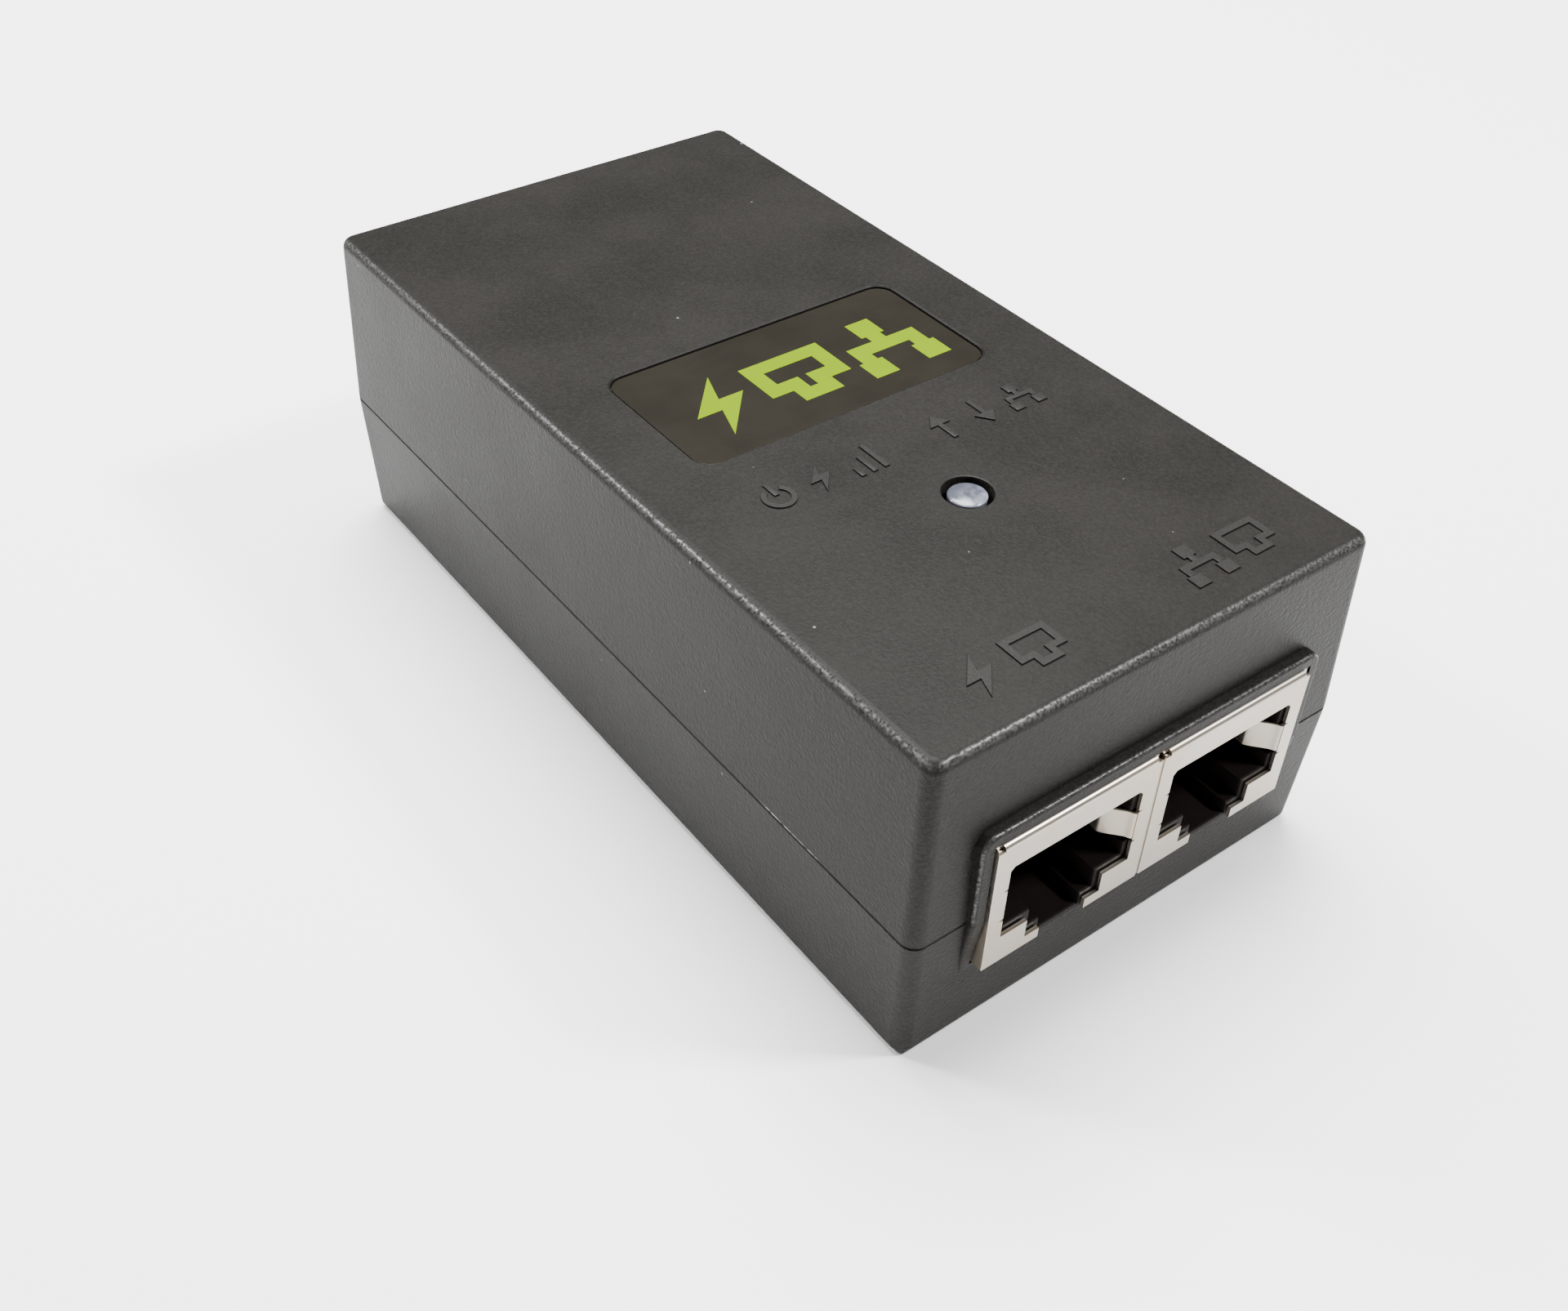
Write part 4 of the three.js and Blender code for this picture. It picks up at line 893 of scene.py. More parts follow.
# ---------------------------------------------------------------- case
@dataclass
class Case:
    """The two halves of the case, their bezels, and what is cut into them."""

    half_width: float = 22.5
    half_length: float = 43.5
    height: float = 30.8
    seam: float = SEAM
    draft: float = math.tan(math.radians(2))
    corner: float = 1.3
    rim: float = 0.9
    wall: float = 2.0
    roof: float = 2.2
    groove: float = 0.13
    lip_height: float = 1.5
    lip_thickness: float = 0.9
    lip_gap: float = 0.12
    port_half: float = 16.35
    port_floor: float = 7.85
    port_top: float = 21.25
    bezel_half: float = 17.4
    bezel_top: float = 22.3
    bezel_toe: float = 6.7
    bezel_proud: float = 0.7
    bezel_corner: float = 1.2
    bezel_edge: float = 0.32
    slit: float = 0.01
    frame_x: float = INLET_X
    frame_half: float = 12.2
    frame_top: float = 28.5
    frame_toe: float = 6.1
    frame_proud: float = 0.5
    inlet_half: float = 11.45
    inlet_floor: float = 6.85
    inlet_top: float = 26.85
    label_half: Point = (15.0, 7.5)
    label_y: float = LABEL_Y
    label_recess: float = 0.45
    label_corner: float = 1.8
    label_chamfer: float = 0.12
    lamp_y: float = LAMP_Y
    lamp_hole: float = 2.05
    lamp_flare: float = 0.22
    boss: float = 3.45
    boss_height: float = 3.0
    base_half: Point = (17.0, 31.0)
    base_recess: float = 0.35
    board_top: float = 8.0
    board_half: float = 19.56
    board_thickness: float = 1.6
    ledge_y: Place = (-31.9, 0.0, 17.5)
    ledge_half: float = 4.5
    ledge_reach: float = 2.2
    rib_y: Point = (-12.0, 12.0)
    rib_half: float = 0.7
    rib_root_half: float = 0.69
    rib_depth: float = 1.6
    rib_gap: float = 0.2
    stop_y: Point = (37.2, 38.6)
    stop_width: float = 2.0
    past: float = 0.5

    def drawn_in(self, z: float) -> float:
        """How far the outside has drawn in at a height."""
        return self.draft * abs(z - self.seam)

    def half(self, inset: float, tip: float, corner: float, rim: float, groove: float) -> Form:
        """The drafted block above or below the seam.

        Args:
            inset: How far inside the outside it lies.
            tip: The height of its far face.
            corner: The radius of its upright corners.
            rim: The radius round its far face.
            groove: The chamfer round its edge at the seam.

        Returns:
            The block.
        """
        x, y = self.half_width - inset, self.half_length - inset
        form = Form.block((-x, -y, self.seam), (x, y, tip))
        form.rounded(form.edges(Axis.Z), corner, 8)
        if rim:
            form.rounded(form.edges(where=lambda p: abs(p.z - tip) < 1e-4), rim, 6)
        if groove:
            form.rounded(form.edges(where=lambda p: abs(p.z - self.seam) < 1e-4), groove, 1)

        def drafted(p: Vector) -> Vector:
            """A corner drawn in with height."""
            draw = self.drawn_in(p.z)
            return Vector((p.x - math.copysign(draw, p.x), p.y - math.copysign(draw, p.y), p.z))
        return form.reshaped(drafted)

    def upright_frame(self, x: float, half: float, top: float, face: float, root: float) -> Form:
        """The part of a raised frame above the seam, with round upper corners and a rounded face.

        Args:
            x: Its middle.
            half: Half its width.
            top: Its top.
            face: Where its face stands, along Y.
            root: Where it ends inside the wall.

        Returns:
            The frame.
        """
        form = Form.block((x - half, face, self.seam + self.slit), (x + half, root, top))
        form.rounded(form.edges(Axis.Y, lambda p: p.z > top - 0.1), self.bezel_corner, 6)
        rim = form.edges(where=lambda p: abs(p.y - face) < 1e-4)
        upper = [e for e in rim if any(v.co.z > self.seam + 2 * self.slit for v in e.verts)]
        return form.rounded(upper, self.bezel_edge, 4)

    def fading_frame(self, x: float, half: float, toe: float, face: float, root: float) -> Form:
        """The part of a raised frame below the seam, which slopes back into the wall.

        Args:
            x: Its middle.
            half: Half its width.
            toe: The height of its foot.
            face: Where its face stands at the seam, along Y.
            root: Where it ends inside the wall.

        Returns:
            The frame.
        """
        sign = math.copysign(1, face)
        form = Form.block((x - half, face, toe), (x + half, root, self.seam - self.slit))
        flush = sign * (self.half_length - self.drawn_in(toe) - 0.03)

        def sloped(p: Vector) -> Vector:
            """The foot of the face, sent back into the wall."""
            at_foot = p.z < toe + 0.01 and abs(p.y - face) < 1e-3
            return Vector((p.x, flush if at_foot else p.y, p.z))
        form.reshaped(sloped)
        sides = form.edges(Axis.Z, lambda p: sign * p.y > sign * root + 0.2)
        return form.rounded(sides, self.bezel_edge, 4)

    def openings(self) -> list[Form]:
        """What is cut through both end walls.

        Returns:
            The cutters.
        """
        inside = self.half_length - self.wall - 2 * self.past
        outside = self.half_length + 2
        ports = Form.block((-self.port_half, -outside, self.port_floor),
                           (self.port_half, -inside, self.port_top))
        inlet = Form.block((self.frame_x - self.inlet_half, inside, self.inlet_floor),
                           (self.frame_x + self.inlet_half, outside, self.inlet_top))
        return [ports, inlet]

    def faces(self) -> Place:
        """Where the frames' faces stand at the jacks and at the inlet, and where both frames end."""
        return (-(self.half_length + self.bezel_proud), self.half_length + self.frame_proud,
                self.half_length - 1)

    def past_seam(self, form: Form, way: int) -> Form:
        """Draw the seam end of a cutter past the seam, up for 1 and down for -1."""
        step = Vector((0, 0, way * self.past))
        return form.reshaped(lambda p: p + step if abs(p.z - self.seam) < 1e-3 else p)

    def upper(self) -> Form:
        """The upper half.

        Returns:
            The solid half.
        """
        ceiling = self.height - self.roof
        front, back, root = self.faces()
        form = self.half(0, self.height, self.corner, self.rim, self.groove)
        form.joined(self.upright_frame(0, self.bezel_half, self.bezel_top, front, -root),
                    self.upright_frame(self.frame_x, self.frame_half, self.frame_top, back, root))
        room = self.half(self.wall, ceiling, 0.4, 0, 0)
        step = self.half(self.lip_thickness, self.seam + self.lip_height + self.lip_gap, 0.6, 0, 0)
        form.less(self.past_seam(room, -1), self.past_seam(step, -1))
        form.joined(Form.drum(self.boss, (0, self.boss_height + self.past), Axis.Z,
                              (0, self.lamp_y, ceiling - self.boss_height), 40))
        hole, flare, deep = self.lamp_hole, self.lamp_flare, self.roof + self.boss_height
        profile = [(0, -1), (hole, -1), (hole, deep - flare), (hole + flare * 0.3, deep - flare * 0.3),
                   (hole + flare, deep), (hole + flare, deep + 1), (0, deep + 1)]
        bore = Form.turned(profile, Axis.Z, (0, self.lamp_y, self.height - deep), 48)
        sunk = Form.plate(self.label_half, self.label_y, self.label_corner,
                          (self.height - self.label_recess, self.height + 1))
        return form.less(bore, sunk, self.recess_chamfer(), *self.openings())

    def recess_chamfer(self) -> Form:
        """A shallow cutter that takes the sharp edge off the label's recess.

        Returns:
            The cutter.
        """
        width, top = self.label_chamfer, self.height
        form = Form.plate(self.label_half, self.label_y, self.label_corner, (top - width, top + width))

        def flared(p: Vector) -> Vector:
            """The upper outline, spread outwards."""
            spread = 2 * width if p.z > top else 0
            return Vector((p.x + math.copysign(spread, p.x),
                           p.y + math.copysign(spread, p.y - self.label_y), p.z))
        return form.reshaped(flared)

    def inner_work(self) -> Form:
        """Ribs, stops and posts of the upper half, as shells that stand in its walls.

        Returns:
            The shells.
        """
        inner, ceiling = self.half_width - self.wall, self.height - self.roof
        foot, top = self.seam + self.lip_height + 2 * self.lip_gap, ceiling + self.past
        outer = inner - self.lip_gap - self.drawn_in(ceiling)
        edge, half, thin = outer - self.rib_depth, self.rib_half, self.rib_root_half
        parts = []
        for side in (-1, 1):
            for y in self.rib_y:
                parts.append(Form.block((side * edge, y - half, self.board_top + self.rib_gap),
                                        (side * outer, y + half, top)))
                parts.append(Form.block((side * edge, y - thin, foot),
                                        (side * (inner + self.lip_gap), y + thin, top)))
        near, far = self.stop_y
        left = self.frame_x - self.inlet_half
        parts.append(Form.block((self.frame_x + self.inlet_half, near, foot), (inner, far, top)))
        parts.append(Form.block((left - self.stop_width, near, foot), (left, far, top)))
        return Form().beside(*parts)

    def lower(self) -> Form:
        """The lower half.

        Returns:
            The solid half.
        """
        front, back, root = self.faces()
        form = self.half(0, 0, self.corner, self.rim, self.groove)
        form.joined(self.fading_frame(0, self.bezel_half, self.bezel_toe, front, -root),
                    self.fading_frame(self.frame_x, self.frame_half, self.frame_toe, back, root))
        form.less(self.past_seam(self.half(self.wall, self.wall, 0.4, 0, 0), 1))
        sunk = Form.plate(self.base_half, 0, self.label_corner, (-1, self.base_recess))
        return form.less(sunk, *self.openings())

    def lip_and_ledges(self) -> Form:
        """The lip along the seam and the ledges for the board, as shells that stand in the walls.

        Returns:
            The shells.
        """
        lip = self.half(self.lip_thickness + self.lip_gap, self.height, 0.5, 0, 0)
        hollow = self.half(self.wall + self.lip_gap, self.height, 0.4, 0, 0)
        middle = (self.seam + self.height) / 2
        hollow.reshaped(lambda p: Vector((p.x, p.y, p.z + math.copysign(1, p.z - middle))))
        lip.less(hollow)
        far = 60
        band = Form.block((-far, -far, self.seam - 0.02), (far, far, self.seam + self.lip_height))
        lip.combined(Cut.KEEP, band)
        lip.less(*self.openings())
        ledges = []
        for side in (-1, 1):
            edge = side * (self.board_half - self.ledge_reach)
            wall = side * (self.half_width - self.wall + 0.1)
            for y in self.ledge_y:
                ledges.append(Form.block((edge, y - self.ledge_half, self.wall - 0.3),
                                         (wall, y + self.ledge_half, self.board_top - self.board_thickness)))
        return lip.beside(*ledges)

    def build(self) -> None:
        """Build and dress both halves."""
        upper = self.upper().beside(self.inner_work(), RaisedMarks(self.height, self.lamp_y).build())
        finished(upper, "case_upper_half", Finishes.case, "upper_shell")
        finished(self.lower().beside(self.lip_and_ledges()), "case_lower_half", Finishes.case, "lower_shell")


# ---------------------------------------------------------------- symbols
@dataclass(frozen=True)
class Symbol:
    """A small picture in a unit square round the origin: outlines that are filled, less some holes."""

    filled: tuple[tuple[Point, ...], ...]
    holes: tuple[tuple[Point, ...], ...] = ()

    def standing(self, x: float, y: float, size: float, low: float, high: float, edge: float) -> Form:
        """The symbol stood up at a place.

        Args:
            x: Its middle along X.
            y: Its middle along Y.
            size: How big the unit square is.
            low: Where it starts.
            high: Where it ends.
            edge: The rounding of its upper edges.

        Returns:
            The solid symbol.
        """
        def solid(outline: tuple[Point, ...], below: float, above: float) -> Form:
            """One outline as a prism."""
            return Form.prism([(x + size * a, y + size * b) for a, b in outline], Axis.Z, below, above)

        form, *rest = (solid(outline, low, high) for outline in self.filled)
        form.joined(*rest).less(*(solid(outline, low - 1, high + 1) for outline in self.holes))
        rim = [e for e in form.edges(where=lambda p: p.z > high - 1e-3)
               if len(e.link_faces) == 2 and e.calc_face_angle(0) > 1]
        return form.rounded(rim, edge, 2)


@dataclass
class Symbols:
    """The pictures used on the case and its label, drawn with strokes of one width."""

    line: float = 0.14

    def bolt(self) -> Symbol:
        """A lightning flash."""
        flash = ((0.18, 0.5), (-0.34, -0.08), (-0.04, -0.08), (-0.18, -0.5), (0.34, 0.1), (0.04, 0.1))
        return Symbol((flash,))

    def switch(self) -> Symbol:
        """A ring broken at the top, with a bar in the break.

        Returns:
            The symbol.
        """
        steps, gap, outer = 28, 0.6, 0.42
        inner = outer - self.line
        angles = [math.pi / 2 + gap + (math.tau - 2 * gap) * k / steps for k in range(steps + 1)]
        rim = [(outer * math.cos(a), outer * math.sin(a) - 0.05) for a in angles]
        bore = [(inner * math.cos(a), inner * math.sin(a) - 0.05) for a in reversed(angles)]
        return Symbol((tuple(rim + bore), stroke((0, 0.5), (0, 0.02), self.line)))

    def arrow(self, way: int) -> Symbol:
        """An arrow, up for 1 and down for -1."""
        head = ((0, 0.5 * way), (-0.3, 0.1 * way), (0.3, 0.1 * way))
        return Symbol((head, stroke((0, 0.15 * way), (0, -0.5 * way), self.line)))

    def bars(self) -> Symbol:
        """Three bars, each taller than the last."""
        places = enumerate((-0.34, 0.0, 0.34))
        return Symbol(tuple(stroke((x, -0.5), (x, -0.15 + 0.32 * k), self.line) for k, x in places))

    def tree(self) -> Symbol:
        """One box wired to two below it.

        Returns:
            The symbol.
        """
        pad, line = 0.15, self.line
        boxes = [((x - pad, y - pad), (x + pad, y - pad), (x + pad, y + pad), (x - pad, y + pad))
                 for x, y in ((0, 0.35), (-0.35, -0.35), (0.35, -0.35))]
        wires = [((0, 0.25), (0, 0)), ((-0.35 - line / 2, 0), (0.35 + line / 2, 0)),
                 ((-0.35, 0.02), (-0.35, -0.25)), ((0.35, 0.02), (0.35, -0.25))]
        return Symbol(tuple(boxes + [stroke(a, b, line) for a, b in wires]))

    def jack(self) -> Symbol:
        """The front of a jack, as a frame."""
        def keyhole(w: float) -> tuple[Point, ...]:
            """The outline of the jack, drawn in by a width."""
            left = [(-0.5 + w, 0.42 - w), (-0.5 + w, -0.2 + w), (-0.24 + w, -0.2 + w), (-0.24 + w, -0.42 + w)]
            return tuple(left + [(-x, y) for x, y in reversed(left)])
        return Symbol((keyhole(0),), (keyhole(self.line),))


@dataclass
class RaisedMarks:
    """The raised symbols on the top of the case."""

    top: float
    lamp_y: float
    rise: float = 0.15
    size: float = 3.4
    jack_size: float = 4.3
    spacing: float = 1.22

    def build(self) -> Form:
        """All the symbols, as shells that stand in the roof.

        Returns:
            The shells.
        """
        draw = Symbols()
        beside_lamp, behind_jacks = self.lamp_y + 7.8, -37.7
        rows = [
            ([draw.switch(), draw.bolt(), draw.bars()], -8.3, beside_lamp, self.size),
            ([draw.arrow(1), draw.arrow(-1), draw.tree()], 8.3, beside_lamp, self.size),
            ([draw.bolt(), draw.jack()], -10.75, behind_jacks, self.jack_size),
            ([draw.tree(), draw.jack()], 10.75, behind_jacks, self.jack_size),
        ]
        form = Form()
        for marks, x, y, size in rows:
            for index, symbol in enumerate(marks):
                shift = x + (index - (len(marks) - 1) / 2) * size * self.spacing
                form.beside(symbol.standing(shift, y, size, self.top - 0.3, self.top + self.rise, 0.05))
        return form


# ---------------------------------------------------------------- labels
@dataclass
class Labels:
    """The film label on the top, its printed symbols, and the paper label underneath."""

    half: Point = (14.85, 7.35)
    y: float = LABEL_Y
    corner: float = 1.65
    floor: float = 30.35
    thickness: float = 0.25
    print_depth: float = 0.03
    symbol: float = 8.2
    stroke: float = 0.19
    base_half: Point = (16.85, 30.85)
    base_low: float = 0.2
    base_high: float = 0.35

    def build(self) -> None:
        """Build and dress both labels."""
        top = self.floor + self.thickness
        film = Form.plate(self.half, self.y, self.corner, (self.floor, top), 8)
        film.rounded(film.edges(where=lambda p: p.z > top - 1e-4), 0.06, 2)
        finished(film, "top_label_film", Finishes.label, "top_label")
        draw = Symbols(self.stroke)
        shapes = Form()
        for symbol, place in ((draw.bolt(), -8.6), (draw.jack(), -0.4), (draw.tree(), 8.7)):
            low, high = top - 0.05, top + self.print_depth
            shapes.beside(symbol.standing(place, self.y - 0.7, self.symbol, low, high, 0.012))
        finished(shapes, "top_label_print", Finishes.print)
        paper = Form.plate(self.base_half, 0, self.corner, (self.base_low, self.base_high), 8)
        paper.rounded(paper.edges(where=lambda p: p.z < self.base_low + 1e-4), 0.05, 2)
        finished(paper, "base_label_paper", Finishes.paper, "base_label")


# ---------------------------------------------------------------- jacks
@dataclass
class Jack:
    """One shielded network jack: its folded shield, its insert and its eight spring contacts."""

    side: str
    x: float
    width: float = 16.0
    front: float = -44.5
    back: float = -26.5
    floor: float = 8.05
    top: float = 21.05
    sheet: float = 0.3
    bend: float = 0.5
    side_bend: float = 0.22
    tear: float = 0.22
    flange: float = 0.145
    gap: float = 0.1
    cut_half: float = 6.55
    cut_floor: float = 2.85
    cut_height: float = 7.5
    step_half: float = 3.85
    step_floor: float = 1.0
    latch_half: float = 2.37
    corner_cut: float = 0.35
    key_inset: float = 0.6
    latch_inset: float = 0.35
    sill: float = 0.45
    key_depth: float = 13.0
    finger_floor: float = 5.05
    finger_height: float = 2.8
    finger_reach: float = 1.7
    finger_length: float = 4.2
    comb_half: float = 0.17
    contact_pitch: float = 1.02
    contact_width: float = 0.4
    contact_thickness: float = 0.28
    contact_root: Point = (3.9, 10.9)
    contact_run: float = 8.2
    contact_drop: float = 3.9

    def stepped(self, right: Sequence[Point]) -> list[Point]:
        """An outline mirrored about the jack's middle, from pairs of half width and height."""
        return [(self.x + a, b) for a, b in right] + [(self.x - a, b) for a, b in reversed(right)]

    def cutout(self) -> list[Point]:
        """The outline of the hole in the front of the shield.

        Returns:
            The outline.
        """
        main, step = self.floor + self.cut_floor, self.floor + self.step_floor
        top, trim = main + self.cut_height, self.corner_cut
        return self.stepped([
            (self.latch_half, self.floor - 1), (self.latch_half, step), (self.step_half, step),
            (self.step_half, main), (self.cut_half, main), (self.cut_half, top - trim),
            (self.cut_half - trim, top)])

    def keyway(self) -> list[Point]:
        """The outline of the insert's keyway.

        Returns:
            The outline.
        """
        inset = self.key_inset
        main, step = self.floor + self.cut_floor + inset, self.floor + self.step_floor + inset
        body, shelf, latch = self.cut_half - inset, self.step_half - inset, self.latch_half - self.latch_inset
        top = self.floor + self.cut_floor + self.cut_height + self.gap
        return self.stepped([(latch, self.floor + self.sill), (latch, step), (shelf, step), (shelf, main),
                             (body, main), (body, top)])

    def finger(self, way: int) -> Form:
        """A spring finger, bent in from the side edge of the hole.

        Args:
            way: Which side: 1 for right, -1 for left.

        Returns:
            The finger.
        """
        z = self.floor + self.finger_floor + self.finger_height / 2
        edge = self.cut_half + self.sheet / 2
        crest = edge - self.finger_reach
        path = [(edge + 0.25, 0.14), (edge - 0.15, 0.2), (edge - 0.5, 0.75), (crest + 0.1, 2.0),
                (crest, 2.6), (crest + 0.3, self.finger_length - 0.1)]
        points = smooth_path([(self.x + way * a, self.front + b, z) for a, b in path])
        return Form.swept(points, Vector((0, 0, 1)), self.finger_height, self.sheet * 0.85)

    def shield(self) -> Form:
        """The folded shield.

        Returns:
            The solid shield with its fingers.
        """
        half, t = self.width / 2, self.sheet
        form = Form.block((self.x - half, self.front, self.floor), (self.x + half, self.back, self.top))
        form.rounded(form.edges(Axis.X, lambda p: p.z > self.top - 0.1), self.bend, 5)
        form.rounded(form.edges(Axis.Y, lambda p: p.z > self.top - 0.1), self.bend * 0.7, 4)
        form.rounded(form.edges(Axis.Z, lambda p: p.y < self.front + 0.1), self.side_bend, 3)
        hollow = Form.block((self.x - half + t, self.front + t, self.floor - 1),
                            (self.x + half - t, self.back - t, self.top - t))
        hollow.rounded(hollow.edges(Axis.X, lambda p: p.z > self.top - 1), self.bend - t + 0.05, 2)
        cutters = [hollow, Form.prism(self.cutout(), Axis.Y, self.front - 1, self.front + t + 0.15)]
        notch_low = self.floor + self.finger_floor
        for way in (-1, 1):
            for z in (notch_low - self.tear, notch_low + self.finger_height + self.tear):
                x = self.x + way * self.cut_half
                wedge = [(x - way * 0.3, z - 0.2), (x + way * 0.42, z), (x - way * 0.3, z + 0.2)]
                cutters.append(Form.prism(wedge, Axis.Y, self.front - 1, self.front + t + 0.2))
            corner = self.x + way * (half - 0.2)
            cutters.append(Form.block((corner - 0.19, self.front - 1, self.top - 0.42),
                                      (corner + 0.45, self.front + 0.42, self.top + 1)))
        form.less(*cutters)
        inward = -math.copysign(1, self.x)
        flange = Form.block((self.x + inward * (half - 0.1), self.front + 0.1, self.floor + 0.02),
                            (self.x + inward * (half + self.flange), self.front + 0.35, self.top - 0.5))
        return form.beside(self.finger(1), self.finger(-1), flange)

    def insert(self) -> Form:
        """The moulded insert.

        Returns:
            The solid insert with its comb.
        """
        half = self.width / 2 - self.sheet - self.gap
        front, back = self.front + self.sheet + self.gap, self.back - self.sheet - self.gap
        top = self.top - self.sheet - self.gap
        key_top = self.floor + self.cut_floor + self.cut_height + self.gap
        form = Form.block((self.x - half, front, self.floor), (self.x + half, back, top))
        keyway = Form.prism(self.keyway(), Axis.Y, front - 1, self.front + self.key_depth)
        mouth = Form.prism(self.keyway(), Axis.Y, front - 1, front + 0.25)
        flare, middle = 0.14, self.floor + 5
        mouth.reshaped(lambda p: p if p.y > front else Vector((
            p.x + math.copysign(flare * 4, p.x - self.x), p.y, p.z + math.copysign(flare * 4, p.z - middle))))
        well = 3.5 * self.contact_pitch + self.contact_width
        wells = Form.block((self.x - well, self.front + 3.1, key_top - 0.5),
                           (self.x + well, self.front + self.key_depth, top - 0.7))
        pocket = self.cut_half + self.sheet + 0.2
        low, deep = self.floor + self.finger_floor - 0.3, self.front + self.finger_length + 0.6
        pockets = Form.block((self.x - pocket, front - 1, low),
                             (self.x + pocket, deep, low + self.finger_height + 0.6))
        form.less(keyway, wells, pockets, mouth)
        combs = []
        for index in range(9):
            x = self.x + (index - 4) * self.contact_pitch
            combs.append(Form.block((x - self.comb_half, self.front + self.key_depth - 2.4, key_top - 5.5),
                                    (x + self.comb_half, self.front + self.key_depth + 0.2, key_top + 0.4)))
        return form.beside(*combs)

    def contact(self, index: int) -> Form:
        """One spring contact: it turns down at its root and slopes back into the keyway.

        Args:
            index: Its place in the row, from 0.

        Returns:
            The contact.
        """
        x = self.x + (index - 3.5) * self.contact_pitch
        y, z = self.front + self.contact_root[0], self.floor + self.contact_root[1]
        t = 0.175
        path = [(x, y + 0.85, z + t), (x, y + 0.2, z + t), (x, y - 0.28, z - 0.12), (x, y - 0.42, z - 0.55),
                (x, y - 0.05, z - 0.86), (x, y + 2.4, z - 1.95), (x, y + 5.2, z - 3.2),
                (x, y + self.contact_run - 1.5, z - self.contact_drop + 0.02),
                (x, y + self.contact_run, z - self.contact_drop + 0.1)]
        return Form.swept(smooth_path(path, 3), Vector((1, 0, 0)), self.contact_width, self.contact_thickness)

    def build(self) -> None:
        """Build and dress the jack."""
        name = f"{self.side}_jack"
        finished(self.shield(), f"{name}_shield", Finishes.nickel, f"{self.side}_port_shield")
        finished(self.insert(), f"{name}_insert", Finishes.mould, f"{self.side}_port_insert")
        for index in range(8):
            finished(self.contact(index), f"{name}_contact_{index + 1}", Finishes.gold,
                     f"{self.side}_port_contact_{index + 1}", body=f"{self.side}_port_contacts")


# ---------------------------------------------------------------- inlet
@dataclass
class Inlet:
    """The mains inlet: a moulded block with a cloverleaf well and three pins."""

    x: float = INLET_X
    half: float = 11.3
    floor: float = 7.0
    top: float = 26.7
    face: float = 44.5
    back: float = 27.2
    lobe: float = 4.4
    spacing: float = 10.2
    lobe_z: float = 15.1
    rise: float = 4.0
    notch: float = 0.8
    depth: float = 13.3
    pin: float = 1.2
    recess: float = 4.2
    seam: float = SEAM
    toe_face: float = 43.43
    edge: float = 0.35
    corner: float = 0.8
    shoulder: float = 0.9
    shoulder_y: Point = (38.94, 40.74)
    bore_gap: float = 0.15
    strap_half: float = 0.7
    strap_reach: float = 2.6
    leg_reach: float = 1.8
    leg_foot: float = 8.05

    def pin_places(self) -> dict[str, Point]:
        """Where each pin stands, in X and Z."""
        half = self.spacing / 2
        return {"live_pin": (self.x - half, self.lobe_z), "neutral_pin": (self.x + half, self.lobe_z),
                "earth_pin": (self.x, self.lobe_z + self.rise)}

    def clover(self, radius: float, start: float, end: float) -> Form:
        """The cloverleaf as a solid along Y.

        Args:
            radius: The radius of a lobe.
            start: Where it starts.
            end: Where it ends.

        Returns:
            The solid.
        """
        lobes = [Form.drum(radius, (start, end), Axis.Y, (x, 0, z), 48)
                 for x, z in self.pin_places().values()]
        half, low = self.spacing / 2, self.lobe_z + self.notch
        high = self.lobe_z + self.rise
        waist = Form.prism([(self.x - half, low), (self.x + half, low), (self.x + radius * 0.8, high),
                            (self.x - radius * 0.8, high)], Axis.Y, start, end)
        return lobes[0].joined(lobes[1], lobes[2], waist)

    def block(self) -> Form:
        """The moulded block.

        Returns:
            The solid block.
        """
        form = Form.block((self.x - self.half, self.back, self.floor),
                          (self.x + self.half, self.face, self.top))
        form.rounded(form.edges(Axis.Y), self.corner, 5)
        rim = form.edges(where=lambda p: p.y > self.face - 1e-3 and p.z > self.seam - 8)
        form.rounded(rim, self.edge, 4)
        below, outside, far = self.floor - 1, self.face + 1, 20
        slope = Form.prism([(self.face, self.seam), (outside, self.seam), (outside, below),
                            (self.toe_face - 0.16, below)], Axis.X, self.x - far, self.x + far)
        reach = self.half + self.shoulder
        near, far = self.shoulder_y
        form.joined(Form.block((self.x - reach, near, self.floor + 1), (self.x + reach, far, self.top - 1)))
        bottom = self.face - self.depth
        form.less(slope, self.clover(self.lobe, bottom, outside))
        ends = (self.back - 1, bottom + 1)
        return form.less(*(Form.drum(self.pin + self.bore_gap, ends, Axis.Y, (x, 0, z), 24)
                           for x, z in self.pin_places().values()))

    def prong(self, x: float, z: float) -> Form:
        """A pin with a rounded nose, and the strap that turns down to the board.

        Args:
            x: Its place along X.
            z: Its height.

        Returns:
            The pin and its strap.
        """
        r, tip, root = self.pin, self.face - self.recess, self.back - 0.8
        nose = [(r, tip - 0.9), (r * 0.96, tip - 0.55), (r * 0.82, tip - 0.25), (r * 0.55, tip - 0.06),
                (0, tip)]
        form = Form.turned([(0, root), (r, root), *nose], Axis.Y, (x, 0, z), 32)
        half, end = self.strap_half, root - self.strap_reach
        strap = Form.block((x - half, end, z - 0.4), (x + half, root + 0.5, z + 0.4))
        leg = Form.block((x - half, end, self.leg_foot), (x + half, root - self.leg_reach, z))
        return form.beside(strap.softened(0.08), leg.softened(0.08))

    def build(self) -> None:
        """Build and dress the inlet."""
        finished(self.block(), "inlet_moulding", Finishes.inlet, "inlet_body")
        for name, (x, z) in self.pin_places().items():
            finished(self.prong(x, z), f"inlet_{name}", Finishes.tin, name)


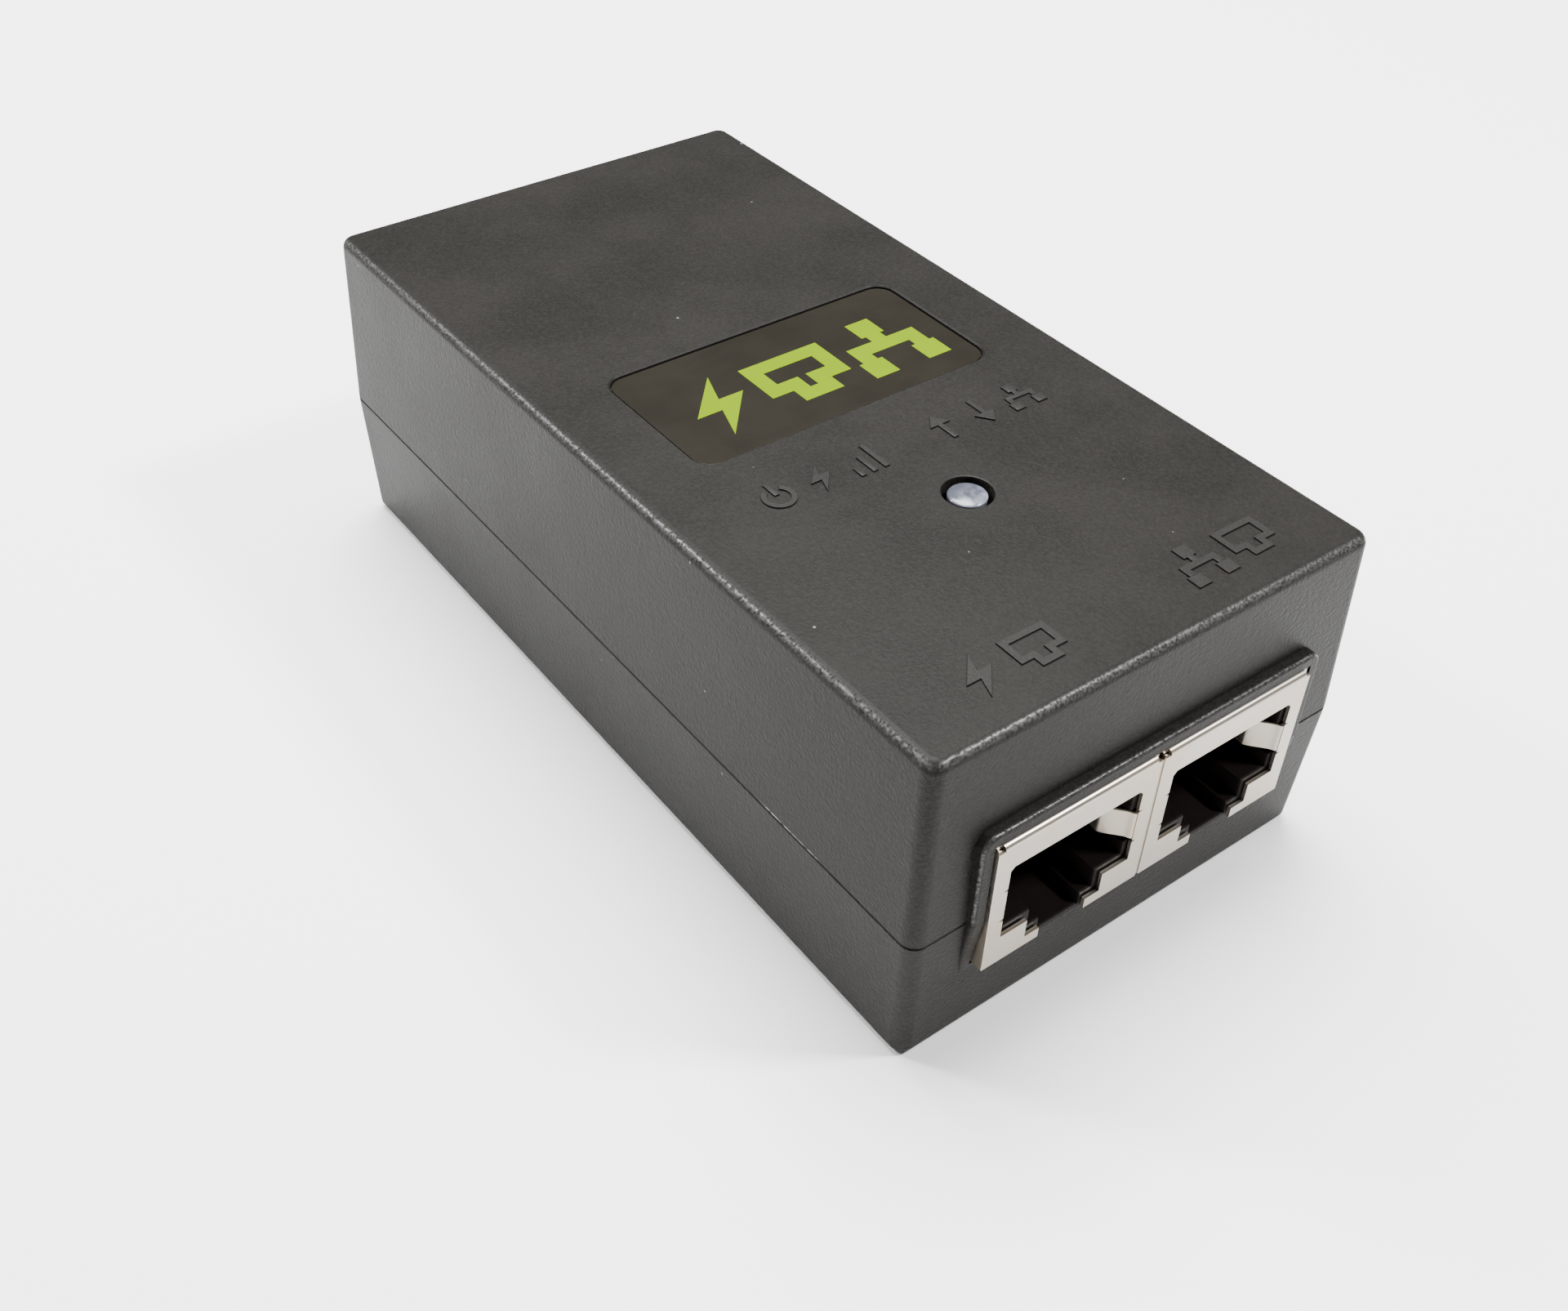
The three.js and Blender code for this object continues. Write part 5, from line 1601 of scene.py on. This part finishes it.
# ---------------------------------------------------------------- indicator
@dataclass
class Indicator:
    """The indicator's lens, with its flange and its softly domed end."""

    y: float = LAMP_Y
    foot: float = 25.42
    radius: float = 1.6
    flange: float = 1.9
    flange_height: float = 0.8
    length: float = 5.3
    dome: float = 0.25

    def build(self) -> None:
        """Build and dress the lens."""
        shoulder = self.length - self.dome
        dome = [(self.radius * math.cos(math.radians(a)), shoulder + self.dome * math.sin(math.radians(a)))
                for a in range(0, 90, 12)]
        profile = [(0, 0), (self.flange, 0), (self.flange, self.flange_height - 0.1),
                   (self.flange - 0.1, self.flange_height), (self.radius, self.flange_height), *dome,
                   (0, self.length)]
        lens = Form.turned(profile, Axis.Z, (0, self.y, self.foot), 40)
        finished(lens, "indicator_lens", Finishes.lens, "indicator_body")


# ---------------------------------------------------------------- inner parts
class InnerParts:
    """The parts sealed in the case, which keep their CAD shapes and get their finishes."""

    finishes: dict[str, Finish] = {
        "indicator_stand": Finishes.mould, "indicator_red_lead": Finishes.tin,
        "indicator_common_lead": Finishes.tin, "indicator_green_lead": Finishes.tin,
        "circuit_board": Finishes.board, "insulation_film": Finishes.film, "mains_fuse": Finishes.package,
        "inrush_thermistor": Finishes.green, "mains_filter_capacitor": Finishes.tape,
        "mains_choke": Finishes.copper, "bridge_rectifier": Finishes.package,
        "mains_capacitor": Finishes.sleeve, "transformer_core": Finishes.ferrite,
        "transformer_winding": Finishes.tape, "switch_transistor": Finishes.package,
        "switch_heat_sink": Finishes.aluminium, "output_diode": Finishes.package,
        "output_heat_sink": Finishes.aluminium, "output_capacitor_1": Finishes.sleeve,
        "output_capacitor_2": Finishes.sleeve, "output_choke": Finishes.copper,
        "feedback_optocoupler": Finishes.package, "safety_capacitor": Finishes.blue,
        "power_controller": Finishes.package,
    }

    def build(self) -> None:
        """Dress every sealed part."""
        for name, finish in self.finishes.items():
            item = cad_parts[name]
            item.data.materials.clear()
            item.data.materials.append(finish.material())
            log.info("%s: dressed in %s", name, finish.slot)


# ---------------------------------------------------------------- studio
@dataclass(frozen=True)
class SoftBox:
    """A rectangular soft light, in millimetres."""

    name: str
    place: Place
    aim: Place
    width: float
    height: float
    power: float
    colour: tuple[float, float, float] = (1.0, 1.0, 1.0)

    def build(self) -> None:
        """Hang the light."""
        data = bpy.data.lights.new(self.name, "AREA")
        data.shape, data.size, data.size_y = "RECTANGLE", self.width * MM, self.height * MM
        data.energy, data.color = self.power, self.colour
        lamp = bpy.data.objects.new(self.name, data)
        place, aim = Vector(self.place) * MM, Vector(self.aim) * MM
        turn = (aim - place).to_track_quat("-Z", "Y").to_matrix().to_4x4()
        lamp.matrix_world = Matrix.Translation(place) @ turn
        bpy.context.scene.collection.objects.link(lamp)


@dataclass
class Studio:
    """The camera, the floor and the lights."""

    eye: Place = (-76.3, -96.73, 107.46)
    forward: Place = (0.46096, 0.59026, -0.66266)
    right: Place = (0.80208, -0.59663, 0.02650)
    lens: float = 38.918
    sensor: float = 36.0
    floor_half: float = 3000.0
    sky: float = 0.2

    def camera(self) -> None:
        """Set up the camera."""
        data = bpy.data.cameras.new("view")
        data.lens, data.sensor_width, data.sensor_fit = self.lens, self.sensor, "HORIZONTAL"
        data.clip_start, data.clip_end = 0.005, 50
        right, back = Vector(self.right).normalized(), -Vector(self.forward).normalized()
        up = back.cross(right).normalized()
        turn = Matrix((right, up, back)).transposed().to_4x4()
        camera = bpy.data.objects.new("view", data)
        camera.matrix_world = Matrix.Translation(Vector(self.eye) * MM) @ turn
        bpy.context.scene.collection.objects.link(camera)
        bpy.context.scene.camera = camera

    def floor(self) -> None:
        """Lay a pale floor."""
        form = Form()
        bmesh.ops.create_grid(form.mesh, x_segments=1, y_segments=1, size=self.floor_half)
        item = form.moved(z=-0.02).object("floor")
        paint = Paint("floor")
        paint.set(Base_Color=(0.92, 0.92, 0.92, 1), Roughness=0.9, Specular_IOR_Level=0.1)
        item.data.materials.append(paint.material)

    def sky_light(self) -> None:
        """Fill the room with even pale light."""
        world = bpy.data.worlds.new("room")
        world.use_nodes = True
        world.node_tree.nodes["Background"].inputs["Color"].default_value = (1, 1, 1, 1)
        world.node_tree.nodes["Background"].inputs["Strength"].default_value = self.sky
        bpy.context.scene.world = world

    def build(self) -> None:
        """Set everything up."""
        self.camera()
        self.floor()
        self.sky_light()
        for light in (
            SoftBox("overhead", (80, 180, 620), (0, 0, 15), 420, 420, 17.0),
            SoftBox("edge_left", (-300, 385, 400), (-40, 40, 10), 100, 100, 4.0),
            SoftBox("edge_right", (300, -275, 510), (0, 0, 25), 90, 90, 6.0),
        ):
            light.build()


def main() -> None:
    """Build the injector and its studio, piece by piece."""
    logging.basicConfig(level=logging.INFO, format="%(message)s")
    for part in (Case(), Labels(), Jack("left", -JACK_X), Jack("right", JACK_X), Inlet(), Indicator(),
                 InnerParts(), Studio()):
        log.info("building %s", type(part).__name__)
        part.build()
    bpy.context.view_layer.update()


if __name__ == "__main__":
    main()
